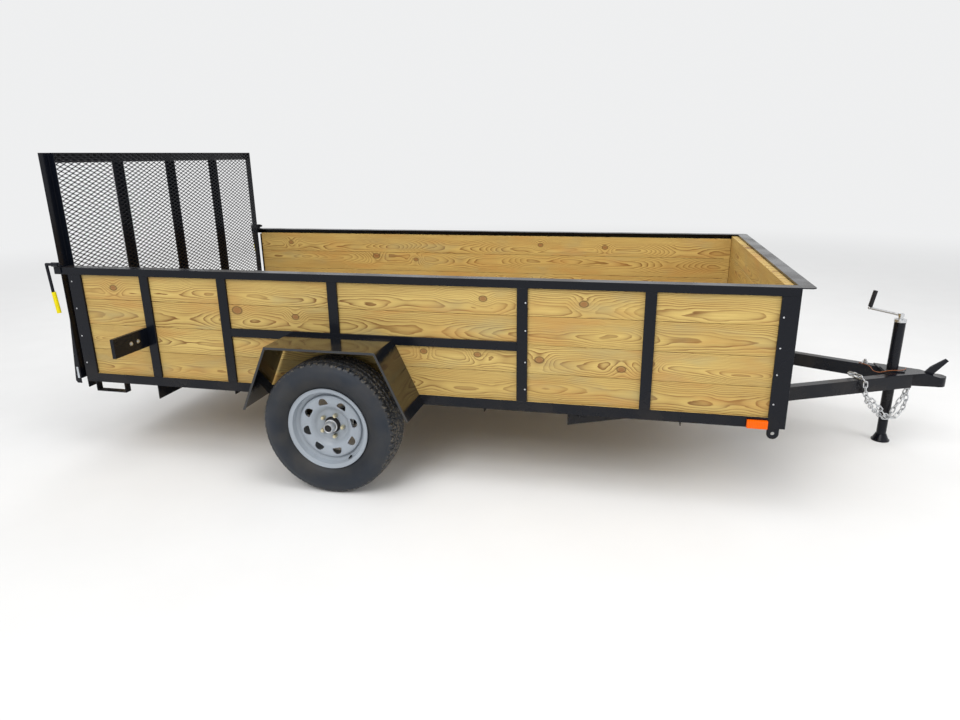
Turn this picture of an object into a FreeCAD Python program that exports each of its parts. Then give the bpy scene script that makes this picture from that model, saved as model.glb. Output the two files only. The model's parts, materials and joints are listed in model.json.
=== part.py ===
import FreeCAD, Part
import math
import os

os.makedirs("parts", exist_ok=True)
V = FreeCAD.Vector

# Frame: +X forward to the coupler, +Y to the left side, +Z up, ground at Z = 0.
# X is written from the rear face of the rear corner posts and shifted at the end,
# so that the origin is the bottom centre of the whole trailer.

# Wheels and axle
TYRE_RADIUS = 340.0
TYRE_WIDTH = 205.0
RIM_SEAT_RADIUS = 190.5
RIM_FLANGE_RADIUS = 207.5
RIM_HALF_WIDTH = 82.0
WHEEL_BOLT_CIRCLE = 114.3
WHEEL_BOLTS = 5
WHEEL_WINDOWS = 8
AXLE_X = 1548.0
AXLE_RADIUS = 30.2
SPINDLE_RADIUS = 19.0
SPINDLE_CLEARANCE = 0.06
WHEEL_GAP = 31.5
AXLE_TO_FRAME = 80.0
SPRING_WIDTH = 44.5
SPRING_HALF_LENGTH = 330.0
SPRING_INSET = 30.0
LEAF_THICK = 7.0

# Bed
BED_LENGTH = 3657.6
BED_WIDTH = 2032.0
FRAME_LEG = 50.8
STEEL = 4.8
RAIL_FLANGE = 63.5
RAIL_LEG = 38.1
RAIL_EAR_REACH = 82.0
FRONT_CORNER_RADIUS = 25.0
POST_WIDTH = 50.8
POST_DEPTH = 12.7
CORNER_POST_WIDTH = 76.2
MIDDLE_RAIL_LEG = 44.0
FENDER_TO_MIDDLE_RAIL = 15.0
REAR_RAIL_DROP = 36.0

# Wood
BOARD_THICK = 38.1
BOARD_PITCH = 139.7
BOARD_ROWS = 4
BOARD_GAP = 1.2
BOARD_TO_RAIL_TOP = 30.4
FRONT_BOARD_RISE = 20.0
PLANK_COUNT = 14
PLANK_GAP = 4.0
STRIP_WIDTH = 38.1

# Cross members under the planks
CROSS_LEG = 50.8
DEEP_CROSS_DROP = 76.2

# Tongue and coupler
TONGUE_HALF_ANGLE = 26.5
TONGUE_WIDTH = 50.8
TONGUE_HEIGHT = 76.2
TONGUE_REACH = 1024.4
TONGUE_UNDER_BED = 971.6
TONGUE_TUBE_GAP = 2.0
COUPLER_LENGTH = 330.0
COUPLER_NECK_LENGTH = 122.0
COUPLER_NECK_HALF = 40.0
COUPLER_WALL = 5.0
SOCKET_SETBACK = 42.0
SOCKET_RADIUS = 25.9
SOCKET_HEIGHT = 54.0

# Safety chains under the tongue
CHAIN_WIRE = 7.0
CHAIN_PITCH = 31.5
CHAIN_WIDTH = 26.7
CHAIN_SEAT = 0.8

# Wire of the lamps on top of the tongue
LAMP_WIRE_RADIUS = 2.0

# Jack
JACK_SETBACK = 274.0
JACK_OUTER_RADIUS = 28.6
JACK_WALL = 3.0
JACK_ABOVE_TONGUE = 282.0
JACK_BELOW_TONGUE = 278.0
JACK_FOOT_RADIUS = 48.0
JACK_FOOT_THICK = 6.0
JACK_CUP_HEIGHT = 34.0
JACK_LEG_SHORTER = 232.0
LEG_CLEARANCE = 0.3
JACK_FLANGE_HALF = 50.0
JACK_FLANGE_THICK = 6.0
CRANK_BACK = 132.0
CRANK_ASIDE = 100.0
CRANK_RISE = 22.0
CRANK_ROD_RADIUS = 7.0
GRIP_LENGTH = 92.0
GRIP_RADIUS = 12.0

# Fenders
FENDER_ABOVE_TYRE = 70.0
FENDER_HALF_TOP = 280.0
FENDER_HALF_BOTTOM = 428.0
FENDER_OUTSIDE_TYRE = 11.5
FENDER_SHEET = 3.0
FENDER_LIP = 12.0

# Rear gate
GATE_HEIGHT = 1219.0
GATE_REAR = -53.0
GATE_ABOVE_FRAME = 8.0
GATE_SIDE_CLEARANCE = 6.2
GATE_FACE_GAP = 10.2
GATE_UPRIGHTS = 3
GATE_UPRIGHT_WIDTH = 50.8
MESH_THICK = 2.5
MESH_ACROSS = 12
MESH_ROWS = 14
MESH_STRAND = 14.0
GUSSET_DEPTH = 37.0
GUSSET_RISE = 342.0
GUSSET_DROP = 28.0
HINGE_RADIUS = 14.0
HINGE_PIN_RADIUS = 8.0
HINGE_CLEARANCE = 0.08
HINGE_DROP = 15.0
HINGE_LENGTH = 60.0
HINGE_TAB = 40.0
HINGE_SPREAD = 720.0
LATCH_ROD_RADIUS = 8.0
LATCH_ROD_X = -111.0
LATCH_SLEEVE_RADIUS = 12.0

# Strap loops and tie-down ears under the bed
BAR_THICK = 6.4
STRAP_LOOP_X = 53.0
STRAP_LOOP_LENGTH = 190.0
STRAP_LOOP_DROP = 55.0
TIE_EAR_SETBACK = 48.6
TIE_EAR_RADIUS = 26.0
TIE_EAR_HOLE_RADIUS = 8.0

# Derived places
HALF = BED_WIDTH / 2
INNER = HALF - STEEL
AXLE_Z = TYRE_RADIUS
FRAME_BOTTOM = AXLE_Z + AXLE_TO_FRAME
FRAME_TOP = FRAME_BOTTOM + FRAME_LEG
WOOD_HEIGHT = BOARD_ROWS * BOARD_PITCH
RAIL_TOP = FRAME_TOP + WOOD_HEIGHT + BOARD_TO_RAIL_TOP
RAIL_UNDER = RAIL_TOP - STEEL
RAIL_LEG_BOTTOM = RAIL_TOP - RAIL_LEG
WOOD_OUTER = HALF - POST_DEPTH
WOOD_INNER = WOOD_OUTER - BOARD_THICK
PLANK_TOP = FRAME_TOP
PLANK_BOTTOM = PLANK_TOP - BOARD_THICK
FRONT_INNER = BED_LENGTH - STEEL
FRONT_WOOD = FRONT_INNER - BOARD_THICK
TRACK_HALF = HALF + WHEEL_GAP + TYRE_WIDTH / 2
SPRING_CENTRE_Y = HALF - SPRING_INSET
FENDER_TOP = 2 * TYRE_RADIUS + FENDER_ABOVE_TYRE
FENDER_BOTTOM = FRAME_BOTTOM + 2
FENDER_OUTER = TRACK_HALF + TYRE_WIDTH / 2 + FENDER_OUTSIDE_TYRE
MIDDLE_RAIL_TOP = FENDER_TOP + FENDER_TO_MIDDLE_RAIL
TONGUE_TOP = FRAME_BOTTOM
TONGUE_BOTTOM = TONGUE_TOP - TONGUE_HEIGHT
TONGUE_SLOPE = math.tan(math.radians(TONGUE_HALF_ANGLE))
TONGUE_SKEW = 1 / math.cos(math.radians(TONGUE_HALF_ANGLE))
TONGUE_HALF_SLICE = TONGUE_WIDTH / 2 * TONGUE_SKEW
COUPLER_NOSE = BED_LENGTH + TONGUE_REACH
COUPLER_REAR = COUPLER_NOSE - COUPLER_LENGTH
COUPLER_NECK_X = COUPLER_NOSE - COUPLER_NECK_LENGTH
COUPLER_TOP = TONGUE_TOP + COUPLER_WALL
TONGUE_FRONT = COUPLER_NECK_X - 62
TONGUE_REAR = BED_LENGTH - TONGUE_UNDER_BED
SOCKET_X = COUPLER_NOSE - SOCKET_SETBACK
SOCKET_BOTTOM = TONGUE_BOTTOM + 6.2
SOCKET_TOP = SOCKET_BOTTOM + SOCKET_HEIGHT
SOCKET_CENTRE_Z = SOCKET_BOTTOM + 24
JACK_X = COUPLER_NOSE - JACK_SETBACK
JACK_TOP = TONGUE_TOP + JACK_ABOVE_TONGUE
JACK_TUBE_BOTTOM = TONGUE_TOP - JACK_BELOW_TONGUE
HINGE_X = GATE_REAR
HINGE_Z = FRAME_BOTTOM - HINGE_DROP
GATE_BOTTOM = FRAME_BOTTOM + GATE_ABOVE_FRAME
GATE_TOP = GATE_BOTTOM + GATE_HEIGHT
GATE_OUTER = INNER - GATE_SIDE_CLEARANCE
GATE_INNER = GATE_OUTER - RAIL_FLANGE
GATE_FRONT = GATE_REAR + RAIL_LEG
REAR_END = LATCH_ROD_X - LATCH_ROD_RADIUS
SHIFT_X = -(COUPLER_NOSE + REAR_END) / 2

# Rear edge of each side post, from the rear end or from the front end of the bed.
POSTS_FROM_REAR = [437.0, 890.0]
POSTS_FROM_FRONT = [1215.0, 639.0]
SIDE_POSTS = POSTS_FROM_REAR + [BED_LENGTH - d for d in POSTS_FROM_FRONT]
SHORT_POST = AXLE_X - 51

# Rear face of each member between the deep one and the front rail.
DEEP_CROSS_X = 449.0
CROSS_MEMBERS = [888.0, 1340.0, 1800.0, 2270.0, 2740.0, 3210.0]

NODES = {}


def add(name, *shapes):
    """Put solids into the named node."""
    NODES.setdefault(name, []).extend(shapes)


def box(x0, x1, y0, y1, z0, z1):
    """A block between two corners."""
    return Part.makeBox(x1 - x0, y1 - y0, z1 - z0, V(x0, y0, z0))


def joined(shapes):
    """One solid from pieces that meet."""
    result = shapes[0]
    for shape in shapes[1:]:
        result = result.fuse(shape)
    return result.removeSplitter()


def mirrored(shape):
    """The same shape on the other side of the trailer."""
    return shape.mirror(V(0, 0, 0), V(0, 1, 0))


def add_both(name, *shapes):
    """Put right-hand solids and their mirror images into one node."""
    for shape in shapes:
        add(name, shape, mirrored(shape))


def add_pair(base, *shapes):
    """Put right-hand solids and their mirror images into two nodes."""
    add(base + "_right", *shapes)
    add(base + "_left", *[mirrored(s) for s in shapes])


def cylinder(radius, start, end):
    """A round bar between two points."""
    line = end.sub(start)
    return Part.makeCylinder(radius, line.Length, start, line)


def prism(points, thickness):
    """Extrude a flat outline, given as 3-D points, along a vector."""
    wire = Part.makePolygon([V(*p) for p in points] + [V(*points[0])])
    return Part.Face(wire).extrude(V(*thickness))


def turned(outline):
    """A ring about Y from a closed outline of (radius, y) points."""
    wire = Part.makePolygon([V(radius, y, 0) for radius, y in outline + outline[:1]])
    return Part.Face(wire).revolve(V(0, 0, 0), V(0, 1, 0), 360)


def spun(shape, turn):
    """The shape turned about the Y axis by degrees."""
    copy = shape.copy()
    copy.rotate(V(0, 0, 0), V(0, 1, 0), turn)
    return copy


def bottom_frame():
    """Side angles and the front and rear rails."""
    side = joined([
        box(CORNER_POST_WIDTH, BED_LENGTH - CORNER_POST_WIDTH,
            -HALF, -INNER, FRAME_BOTTOM, FRAME_TOP),
        box(STEEL, FRONT_INNER, -INNER, -HALF + FRAME_LEG,
            FRAME_BOTTOM, FRAME_BOTTOM + STEEL),
    ])
    add_both("frame_side_rails", side)
    reach = HALF - RAIL_FLANGE
    shelf = PLANK_BOTTOM - STEEL
    rear = joined([
        box(0, STEEL, -reach, reach, FRAME_BOTTOM, FRAME_TOP),
        box(0, STEEL, -HALF, HALF, FRAME_BOTTOM - REAR_RAIL_DROP, FRAME_BOTTOM),
        box(STEEL, FRAME_LEG, -reach, reach, shelf, PLANK_BOTTOM),
    ])
    front = joined([
        box(FRONT_INNER, BED_LENGTH, -reach, reach, FRAME_BOTTOM, FRAME_TOP),
        box(BED_LENGTH - FRAME_LEG, FRONT_INNER, -reach, reach, shelf, PLANK_BOTTOM),
    ])
    add("frame_end_rails", rear, front)


def cross_members():
    """Angles across the frame that carry the planks."""
    reach = HALF - FRAME_LEG
    low = PLANK_BOTTOM - CROSS_LEG
    shelf = PLANK_BOTTOM - STEEL
    deep = joined([
        box(DEEP_CROSS_X, DEEP_CROSS_X + STEEL, -reach, reach,
            FRAME_BOTTOM, PLANK_BOTTOM),
        box(DEEP_CROSS_X, DEEP_CROSS_X + STEEL, -HALF, HALF,
            FRAME_BOTTOM - DEEP_CROSS_DROP, FRAME_BOTTOM),
        box(DEEP_CROSS_X, DEEP_CROSS_X + FRAME_LEG, -reach, reach, shelf, PLANK_BOTTOM),
    ])
    add("cross_members", deep)
    tubes = [tongue_block(TONGUE_HALF_SLICE, 0)]
    tubes.append(mirrored(tubes[0]))
    for x in CROSS_MEMBERS:
        bar = joined([
            box(x, x + STEEL, -reach, reach, low, PLANK_BOTTOM),
            box(x, x + FRAME_LEG, -reach, reach, shelf, PLANK_BOTTOM),
        ])
        for tube in tubes:
            bar = bar.cut(tube)
        add("cross_members", *bar.Solids)


def floor_planks():
    """Planks laid lengthwise between the frame legs."""
    pitch = 2 * INNER / PLANK_COUNT
    for i in range(PLANK_COUNT):
        y = -INNER + i * pitch + PLANK_GAP / 2
        add("floor_planks", box(STEEL, FRONT_INNER, y, y + pitch - PLANK_GAP,
                                PLANK_BOTTOM, PLANK_TOP))


def corner_post(front):
    """A folded corner post on the right side, with a lip that meets the boards."""
    post = joined([
        box(0, CORNER_POST_WIDTH, -HALF, -INNER, FRAME_BOTTOM, RAIL_LEG_BOTTOM),
        box(0, STEEL, -HALF, -HALF + RAIL_FLANGE, FRAME_BOTTOM, RAIL_LEG_BOTTOM),
        box(CORNER_POST_WIDTH - STEEL, CORNER_POST_WIDTH, -HALF, -WOOD_OUTER,
            FRAME_TOP, RAIL_LEG_BOTTOM),
    ])
    if front:
        post = post.mirror(V(0, 0, 0), V(1, 0, 0))
        post.translate(V(BED_LENGTH, 0, 0))
    return post


def channel_post(x0, low, high):
    """A folded upright that is open towards the boards, on the right side."""
    x1 = x0 + POST_WIDTH
    return joined([
        box(x0, x1, -HALF, -INNER, low, high),
        box(x0, x0 + STEEL, -INNER, -WOOD_OUTER, low, high),
        box(x1 - STEEL, x1, -INNER, -WOOD_OUTER, low, high),
    ])


def uprights():
    """Corner posts, side posts, short posts and the two front uprights."""
    add_both("corner_posts", corner_post(False), corner_post(True))
    posts = [channel_post(x, FRAME_TOP, RAIL_LEG_BOTTOM) for x in SIDE_POSTS]
    posts.append(channel_post(SHORT_POST, MIDDLE_RAIL_TOP, RAIL_LEG_BOTTOM))
    add_both("side_posts", *posts)
    middle = BED_WIDTH / 6
    add_both("front_posts", box(FRONT_INNER, BED_LENGTH, middle - POST_WIDTH / 2,
                                middle + POST_WIDTH / 2, FRAME_TOP, RAIL_LEG_BOTTOM))


def top_rails():
    """Side rails with inward flanges and the front rail with an outward one."""
    flange_rear = GATE_REAR + STEEL + GATE_FACE_GAP
    side = joined([
        box(-RAIL_EAR_REACH, FRONT_INNER, -HALF, -INNER, RAIL_LEG_BOTTOM, RAIL_TOP),
        box(flange_rear, FRONT_INNER, -INNER, -HALF + RAIL_FLANGE, RAIL_UNDER, RAIL_TOP),
    ])
    add_both("top_rails", side)
    front = joined([
        box(FRONT_INNER, BED_LENGTH, -HALF, HALF, RAIL_LEG_BOTTOM, RAIL_TOP),
        box(FRONT_INNER, FRONT_INNER + RAIL_FLANGE, -HALF, HALF, RAIL_UNDER, RAIL_TOP),
    ])
    tip = FRONT_INNER + RAIL_FLANGE
    corners = [e for e in front.Edges
               if e.BoundBox.XMin > tip - 0.01 and e.BoundBox.YLength < 0.01]
    add("top_rail_front", front.makeFillet(FRONT_CORNER_RADIUS, corners))


def middle_rails():
    """Rails between the posts on each side of the wheel."""
    x0 = SIDE_POSTS[1] + POST_WIDTH
    x1 = SIDE_POSTS[2]
    rail = joined([
        box(x0, x1, -HALF, -INNER, MIDDLE_RAIL_TOP - MIDDLE_RAIL_LEG, MIDDLE_RAIL_TOP),
        box(x0, x1, -INNER, -WOOD_OUTER, MIDDLE_RAIL_TOP - STEEL, MIDDLE_RAIL_TOP),
    ])
    add_both("middle_rails", rail)


def boards():
    """Side and front boards, and the strips that cover their front joint."""
    side_end = FRONT_WOOD - BOARD_GAP
    for row in range(BOARD_ROWS):
        z = FRAME_TOP + row * BOARD_PITCH
        top = z + BOARD_PITCH - BOARD_GAP
        add_pair("side_boards",
                 box(STEEL, side_end, -WOOD_OUTER, -WOOD_INNER, z, top))
        add("front_boards",
            box(FRONT_WOOD, FRONT_INNER, -WOOD_OUTER, WOOD_OUTER,
                z + FRONT_BOARD_RISE, top + FRONT_BOARD_RISE))
    strip = box(side_end - STRIP_WIDTH, side_end, -WOOD_INNER, -WOOD_INNER + STEEL,
                FRAME_TOP, FRAME_TOP + WOOD_HEIGHT - BOARD_GAP)
    add_both("corner_strips", strip)


def tongue_line(x):
    """Distance of a tongue tube's middle line from the centre plane."""
    half_gap = TONGUE_TUBE_GAP / 2
    return half_gap + TONGUE_HALF_SLICE + (TONGUE_FRONT - x) * TONGUE_SLOPE


def tongue_block(half, inset):
    """The right tube's slanting block, cut square across at both ends."""
    y0 = -tongue_line(TONGUE_REAR)
    y1 = -tongue_line(TONGUE_FRONT)
    z = TONGUE_BOTTOM + inset
    points = [
        (TONGUE_REAR, y0 - half, z),
        (TONGUE_FRONT, y1 - half, z),
        (TONGUE_FRONT, y1 + half, z),
        (TONGUE_REAR, y0 + half, z),
    ]
    return prism(points, (0, 0, TONGUE_HEIGHT - 2 * inset))


def tongue():
    """Hollow tongue tubes."""
    inside = tongue_block(TONGUE_HALF_SLICE - STEEL * TONGUE_SKEW, STEEL)
    add_both("tongue_tubes", tongue_block(TONGUE_HALF_SLICE, 0).cut(inside))


def coupler():
    """Plate over the tube ends, neck and ball socket, with its lever."""
    rear_half = tongue_line(COUPLER_REAR) + TONGUE_HALF_SLICE
    plate = prism([
        (COUPLER_REAR, -rear_half, TONGUE_TOP),
        (COUPLER_NECK_X, -COUPLER_NECK_HALF, TONGUE_TOP),
        (COUPLER_NECK_X, COUPLER_NECK_HALF, TONGUE_TOP),
        (COUPLER_REAR, rear_half, TONGUE_TOP),
    ], (0, 0, COUPLER_WALL))
    hole = Part.makeCylinder(JACK_OUTER_RADIUS, COUPLER_WALL, V(JACK_X, 0, TONGUE_TOP))
    plate = plate.cut(hole)
    neck = prism([
        (TONGUE_FRONT, -COUPLER_NECK_HALF, SOCKET_BOTTOM),
        (SOCKET_X, -COUPLER_NECK_HALF, SOCKET_BOTTOM),
        (SOCKET_X, -COUPLER_NECK_HALF, SOCKET_TOP),
        (COUPLER_NECK_X, -COUPLER_NECK_HALF, COUPLER_TOP),
        (TONGUE_FRONT, -COUPLER_NECK_HALF, COUPLER_TOP),
    ], (0, 2 * COUPLER_NECK_HALF, 0))
    nose = Part.makeCylinder(SOCKET_SETBACK, SOCKET_HEIGHT, V(SOCKET_X, 0, SOCKET_BOTTOM))
    body = joined([plate, neck, nose])
    ball = Part.makeSphere(SOCKET_RADIUS, V(SOCKET_X, 0, SOCKET_CENTRE_Z))
    mouth = Part.makeCylinder(SOCKET_RADIUS, SOCKET_CENTRE_Z - SOCKET_BOTTOM,
                              V(SOCKET_X, 0, SOCKET_BOTTOM))
    add("coupler", body.cut(ball).cut(mouth))
    # Side view of the lever, as distances behind the nose and above the plate.
    outline = [
        (112.0, -6.0), (70.0, -20.0), (56.0, 1.0),
        (2.0, 67.0), (16.0, 79.0), (84.0, 30.0),
    ]
    half = 7.0
    lever = prism([(COUPLER_NOSE - back, -half, COUPLER_TOP + up)
                   for back, up in outline], (0, 2 * half, 0))
    add("coupler_lever", lever.cut(body))


def link(start, end, turned_over):
    """A chain link between the points where its neighbours pull on it.

    It lies flat across the trailer, or is turned by a quarter about its own line."""
    middle = start.add(end).multiply(0.5)
    along = end.sub(start)
    inside = along.Length / 2
    along.normalize()
    normal = along.cross(V(0, 1, 0))
    normal.normalize()
    across = normal.cross(along)
    if turned_over:
        across, normal = normal, V(across).multiply(-1)

    def loop(a, b):
        corners = [(a, b), (-a, b), (-a, -b), (a, -b), (a, b)]
        wire = Part.makePolygon([
            middle.add(V(along).multiply(p)).add(V(across).multiply(q)) for p, q in corners])
        wire.translate(V(normal).multiply(-CHAIN_WIRE / 2))
        return wire

    half = CHAIN_WIDTH / 2
    loops = [loop(inside + CHAIN_WIRE, half), loop(inside - CHAIN_SEAT, half - CHAIN_WIRE)]
    face = Part.makeFace(loops, "Part::FaceMakerBullseye")
    return face.extrude(V(normal).multiply(CHAIN_WIRE))


def pull_points(course):
    """Points one pitch apart, in a straight line, along a course of straight runs."""
    points = [course[0]]
    for first, last in zip(course, course[1:]):
        run = last.sub(first)
        share = 0.0
        while share <= 1:
            behind = first.sub(points[-1])
            a = run.dot(run)
            b = behind.dot(run)
            square = b * b - a * (behind.dot(behind) - CHAIN_PITCH ** 2)
            share = (-b + math.sqrt(square)) / a if square > 0 else 2.0
            if share <= 1:
                points.append(first.add(V(run).multiply(share)))
    return points


# Course of each chain: distance ahead of the jack, y, and height above the tubes' lower edge.
NEAR_CHAIN = [
    (-214.2, -209.4, 90.4), (-201.5, -231, 92), (-198, -232, 58), (-188, -219, 10),
    (-171, -195, -41), (-113, -134, -109), (-62, -83, -157.3), (-27, -50, -188.3),
    (6, -50, -188.3), (23, -42, -146), (53, -36, -82), (81.5, -30.5, -13.6),
]
FAR_CHAIN = [
    (-260, -140, 90.4), (-228, -124, 84), (-196, -118, 58), (-176, -113, 8),
    (-158, -111, -30), (-118, -110, -66), (-73, -103, -106), (-33, -100, -153),
    (7, -97, -182.3), (50, -79, -139), (83, -37, -99), (94, -4, -52), (103, 22, -4.5),
]


def chains():
    """Two safety chains that hang under the tongue, and the long link that joins them."""
    links = []
    ends = []
    for course in (NEAR_CHAIN, FAR_CHAIN):
        course = [V(JACK_X + ahead, y, TONGUE_BOTTOM + rise) for ahead, y, rise in course]
        points = pull_points(course)
        ends.append(course[0])
        for i, (first, last) in enumerate(zip(points, points[1:])):
            links.append(link(first, last, i % 2 == 1))
        left = course[-1].sub(points[-1]).Length
        print("chain length", round(CHAIN_PITCH * (len(points) - 1), 1), "left", round(left, 2))
    links.append(link(ends[1], ends[0], True))
    add("safety_chains", joined(links))


def bent_wire(points, radius):
    """A round wire of straight runs joined by arcs, each as large as its runs allow."""
    points = [V(*p) for p in points]
    edges = []
    here = points[0]
    for before, corner, after in zip(points, points[1:], points[2:]):
        back = before.sub(corner)
        ahead = after.sub(corner)
        shorter = 0.45 * min(back.Length, ahead.Length)
        half_turn = (math.pi - back.getAngle(ahead)) / 2
        bend = shorter / math.tan(half_turn)
        back.normalize()
        ahead.normalize()
        start = corner.add(V(back).multiply(shorter))
        end = corner.add(V(ahead).multiply(shorter))
        inward = back.add(ahead)
        inward.normalize()
        middle = corner.add(inward.multiply(bend / math.cos(half_turn) - bend))
        edges.append(Part.LineSegment(here, start).toShape())
        edges.append(Part.Arc(start, middle, end).toShape())
        print("wire bend radius", round(bend, 1))
        here = end
    edges.append(Part.LineSegment(here, points[-1]).toShape())
    path = Part.Wire(edges)
    first = points[1].sub(points[0])
    section = Part.Wire(Part.makeCircle(radius, points[0], first))
    solid = path.makePipeShell([section], True, False)
    expected = math.pi * radius * radius * path.Length
    print("wire length", round(path.Length, 1), "volume", round(solid.Volume / expected, 4))
    return solid


# Course of the lamp wire: distance ahead of the jack, y, and height above the tubes.
LAMP_WIRE = [
    (-133, 128, 2.4), (-107, 92, 4), (-100, 40, 7), (-108, -12, 9), (-112, -60, 10),
    (-90, -84, 10.5), (-56, -60, 12), (-18, -44, 14.5), (17, -40, 14.5), (50, -22, 14),
    (72, 8, 10), (84, 42, 7.4),
]


def lamp_wire():
    """The lamps' wire, laid over the gap between the tubes and round the jack."""
    points = [(JACK_X + ahead, y, TONGUE_TOP + rise) for ahead, y, rise in LAMP_WIRE]
    add("lamp_wire", bent_wire(points, LAMP_WIRE_RADIUS))


def jack():
    """Jack tube through the coupler plate, its head and crank, and the leg."""
    bore = JACK_OUTER_RADIUS - JACK_WALL
    length = JACK_TOP - JACK_TUBE_BOTTOM
    foot_of_tube = V(JACK_X, 0, JACK_TUBE_BOTTOM)
    half = JACK_FLANGE_HALF
    flange = box(JACK_X - half, JACK_X + half, -half, half,
                 COUPLER_TOP, COUPLER_TOP + JACK_FLANGE_THICK)
    tube = joined([Part.makeCylinder(JACK_OUTER_RADIUS, length, foot_of_tube), flange])
    add("jack_tube", tube.cut(Part.makeCylinder(bore, length, foot_of_tube)))
    collar = 16.0
    neck = 30.0
    add("jack_head", joined([
        Part.makeCylinder(JACK_OUTER_RADIUS + 2, collar, V(JACK_X, 0, JACK_TOP)),
        Part.makeCylinder(12, neck, V(JACK_X, 0, JACK_TOP)),
    ]))
    elbow = V(JACK_X - CRANK_BACK, CRANK_ASIDE, JACK_TOP + neck + CRANK_RISE)
    crank = joined([
        Part.makeCylinder(15, 16, V(JACK_X, 0, JACK_TOP + neck)),
        cylinder(CRANK_ROD_RADIUS, V(JACK_X, 0, JACK_TOP + neck + 8), elbow),
        Part.makeSphere(CRANK_ROD_RADIUS + 2, elbow),
    ])
    add("jack_crank", crank)
    low = elbow.add(V(2, 0, CRANK_ROD_RADIUS + 1))
    grip = cylinder(GRIP_RADIUS, low, low.add(V(16, 0, GRIP_LENGTH)))
    add("jack_grip", grip.cut(crank))
    leg_radius = bore - LEG_CLEARANCE
    leg_length = JACK_TOP - JACK_LEG_SHORTER
    leg = Part.makeCylinder(leg_radius, leg_length, V(JACK_X, 0, JACK_FOOT_THICK))
    add("jack_leg", leg.cut(Part.makeCylinder(leg_radius - JACK_WALL, leg_length,
                                              V(JACK_X, 0, JACK_FOOT_THICK))))
    cone = JACK_CUP_HEIGHT
    disc = Part.makeCylinder(JACK_FOOT_RADIUS, JACK_FOOT_THICK, V(JACK_X, 0, 0))
    cup = Part.makeCone(JACK_FOOT_RADIUS - 4, leg_radius + 3, cone,
                        V(JACK_X, 0, JACK_FOOT_THICK))
    cup = cup.cut(Part.makeCylinder(leg_radius, cone, V(JACK_X, 0, JACK_FOOT_THICK)))
    add("jack_foot", joined([disc, cup]))


def leaf(y0, middle_z, rise, half):
    """One spring leaf, curved upwards to both ends."""
    upper = Part.Arc(V(AXLE_X - half, y0, middle_z + rise), V(AXLE_X, y0, middle_z),
                     V(AXLE_X + half, y0, middle_z + rise)).toShape()
    low = middle_z - LEAF_THICK
    lower = Part.Arc(V(AXLE_X - half, y0, low + rise), V(AXLE_X, y0, low),
                     V(AXLE_X + half, y0, low + rise)).toShape()
    sides = [Part.LineSegment(V(x, y0, middle_z + rise), V(x, y0, low + rise)).toShape()
             for x in (AXLE_X - half, AXLE_X + half)]
    wire = Part.Wire(Part.__sortEdges__([upper, lower] + sides))
    return Part.Face(wire).extrude(V(0, SPRING_WIDTH, 0))


def bow(radius, rod, y):
    """The rounded top of a U-bolt, half a ring over the axle."""
    section = Part.makeCircle(rod, V(AXLE_X - radius, y, AXLE_Z), V(0, 0, 1))
    face = Part.Face(Part.Wire(section))
    return face.revolve(V(AXLE_X, y, AXLE_Z), V(0, 1, 0), 180)


# Length of each spring leaf, as a share of the longest one.
LEAVES = [1.0, 0.72, 0.45]
EYE_RADIUS = 16.0
EYE_BOLT_RADIUS = 7.0


def axle():
    """Axle beam with spindles, leaf springs, their hangers and clamps."""
    y0 = -SPRING_CENTRE_Y - SPRING_WIDTH / 2
    y1 = y0 + SPRING_WIDTH
    seat = AXLE_Z - AXLE_RADIUS - 6
    eye_z = AXLE_Z + 26
    pieces = []
    for i, share in enumerate(LEAVES):
        rise = (eye_z - EYE_RADIUS + LEAF_THICK + 1 - seat) * share * share
        pieces.append(leaf(y0, seat - i * LEAF_THICK, rise, SPRING_HALF_LENGTH * share))
    eyes = [AXLE_X - SPRING_HALF_LENGTH, AXLE_X + SPRING_HALF_LENGTH]
    for x in eyes:
        pieces.append(cylinder(EYE_RADIUS, V(x, y0, eye_z), V(x, y1, eye_z)))
    spring = joined(pieces)
    for x in eyes:
        spring = spring.cut(cylinder(EYE_BOLT_RADIUS + 0.3, V(x, y0, eye_z),
                                     V(x, y1, eye_z)))
    add_both("leaf_springs", spring)
    beam_end = TRACK_HALF - RIM_HALF_WIDTH
    spindle_end = TRACK_HALF + 40
    pad = box(AXLE_X - 35, AXLE_X + 35, y0, y1, seat, AXLE_Z - AXLE_RADIUS / 2)
    pad = pad.cut(spring)
    add("axle_beam", joined([
        cylinder(AXLE_RADIUS, V(AXLE_X, -beam_end, AXLE_Z), V(AXLE_X, beam_end, AXLE_Z)),
        cylinder(SPINDLE_RADIUS, V(AXLE_X, -spindle_end, AXLE_Z),
                 V(AXLE_X, spindle_end, AXLE_Z)),
        pad,
        mirrored(pad),
    ]))
    ear_gap = 0.6
    low = eye_z - 22
    for x in eyes:
        add_both("spring_hangers", joined([
            box(x - 26, x + 26, y0 - ear_gap - STEEL, y0 - ear_gap, low, FRAME_BOTTOM),
            box(x - 26, x + 26, y1 + ear_gap, y1 + ear_gap + STEEL, low, FRAME_BOTTOM),
            box(x - 26, x + 26, y0 - ear_gap, y1 + ear_gap,
                FRAME_BOTTOM - STEEL, FRAME_BOTTOM),
            cylinder(EYE_BOLT_RADIUS, V(x, y0 - ear_gap, eye_z), V(x, y1 + ear_gap, eye_z)),
        ]))
    low = seat - len(LEAVES) * LEAF_THICK
    rod = 6.0
    reach = AXLE_RADIUS + rod + 0.8
    pieces = [box(AXLE_X - reach - 12, AXLE_X + reach + 12, y0 - 16, y1 + 16, low - 8, low)]
    for y in (y0 - rod - 1, y1 + rod + 1):
        pieces.append(bow(reach, rod, y))
        for x in (AXLE_X - reach, AXLE_X + reach):
            pieces.append(cylinder(rod, V(x, y, low - 20), V(x, y, AXLE_Z)))
    add_both("spring_clamps", joined(pieces))


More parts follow.
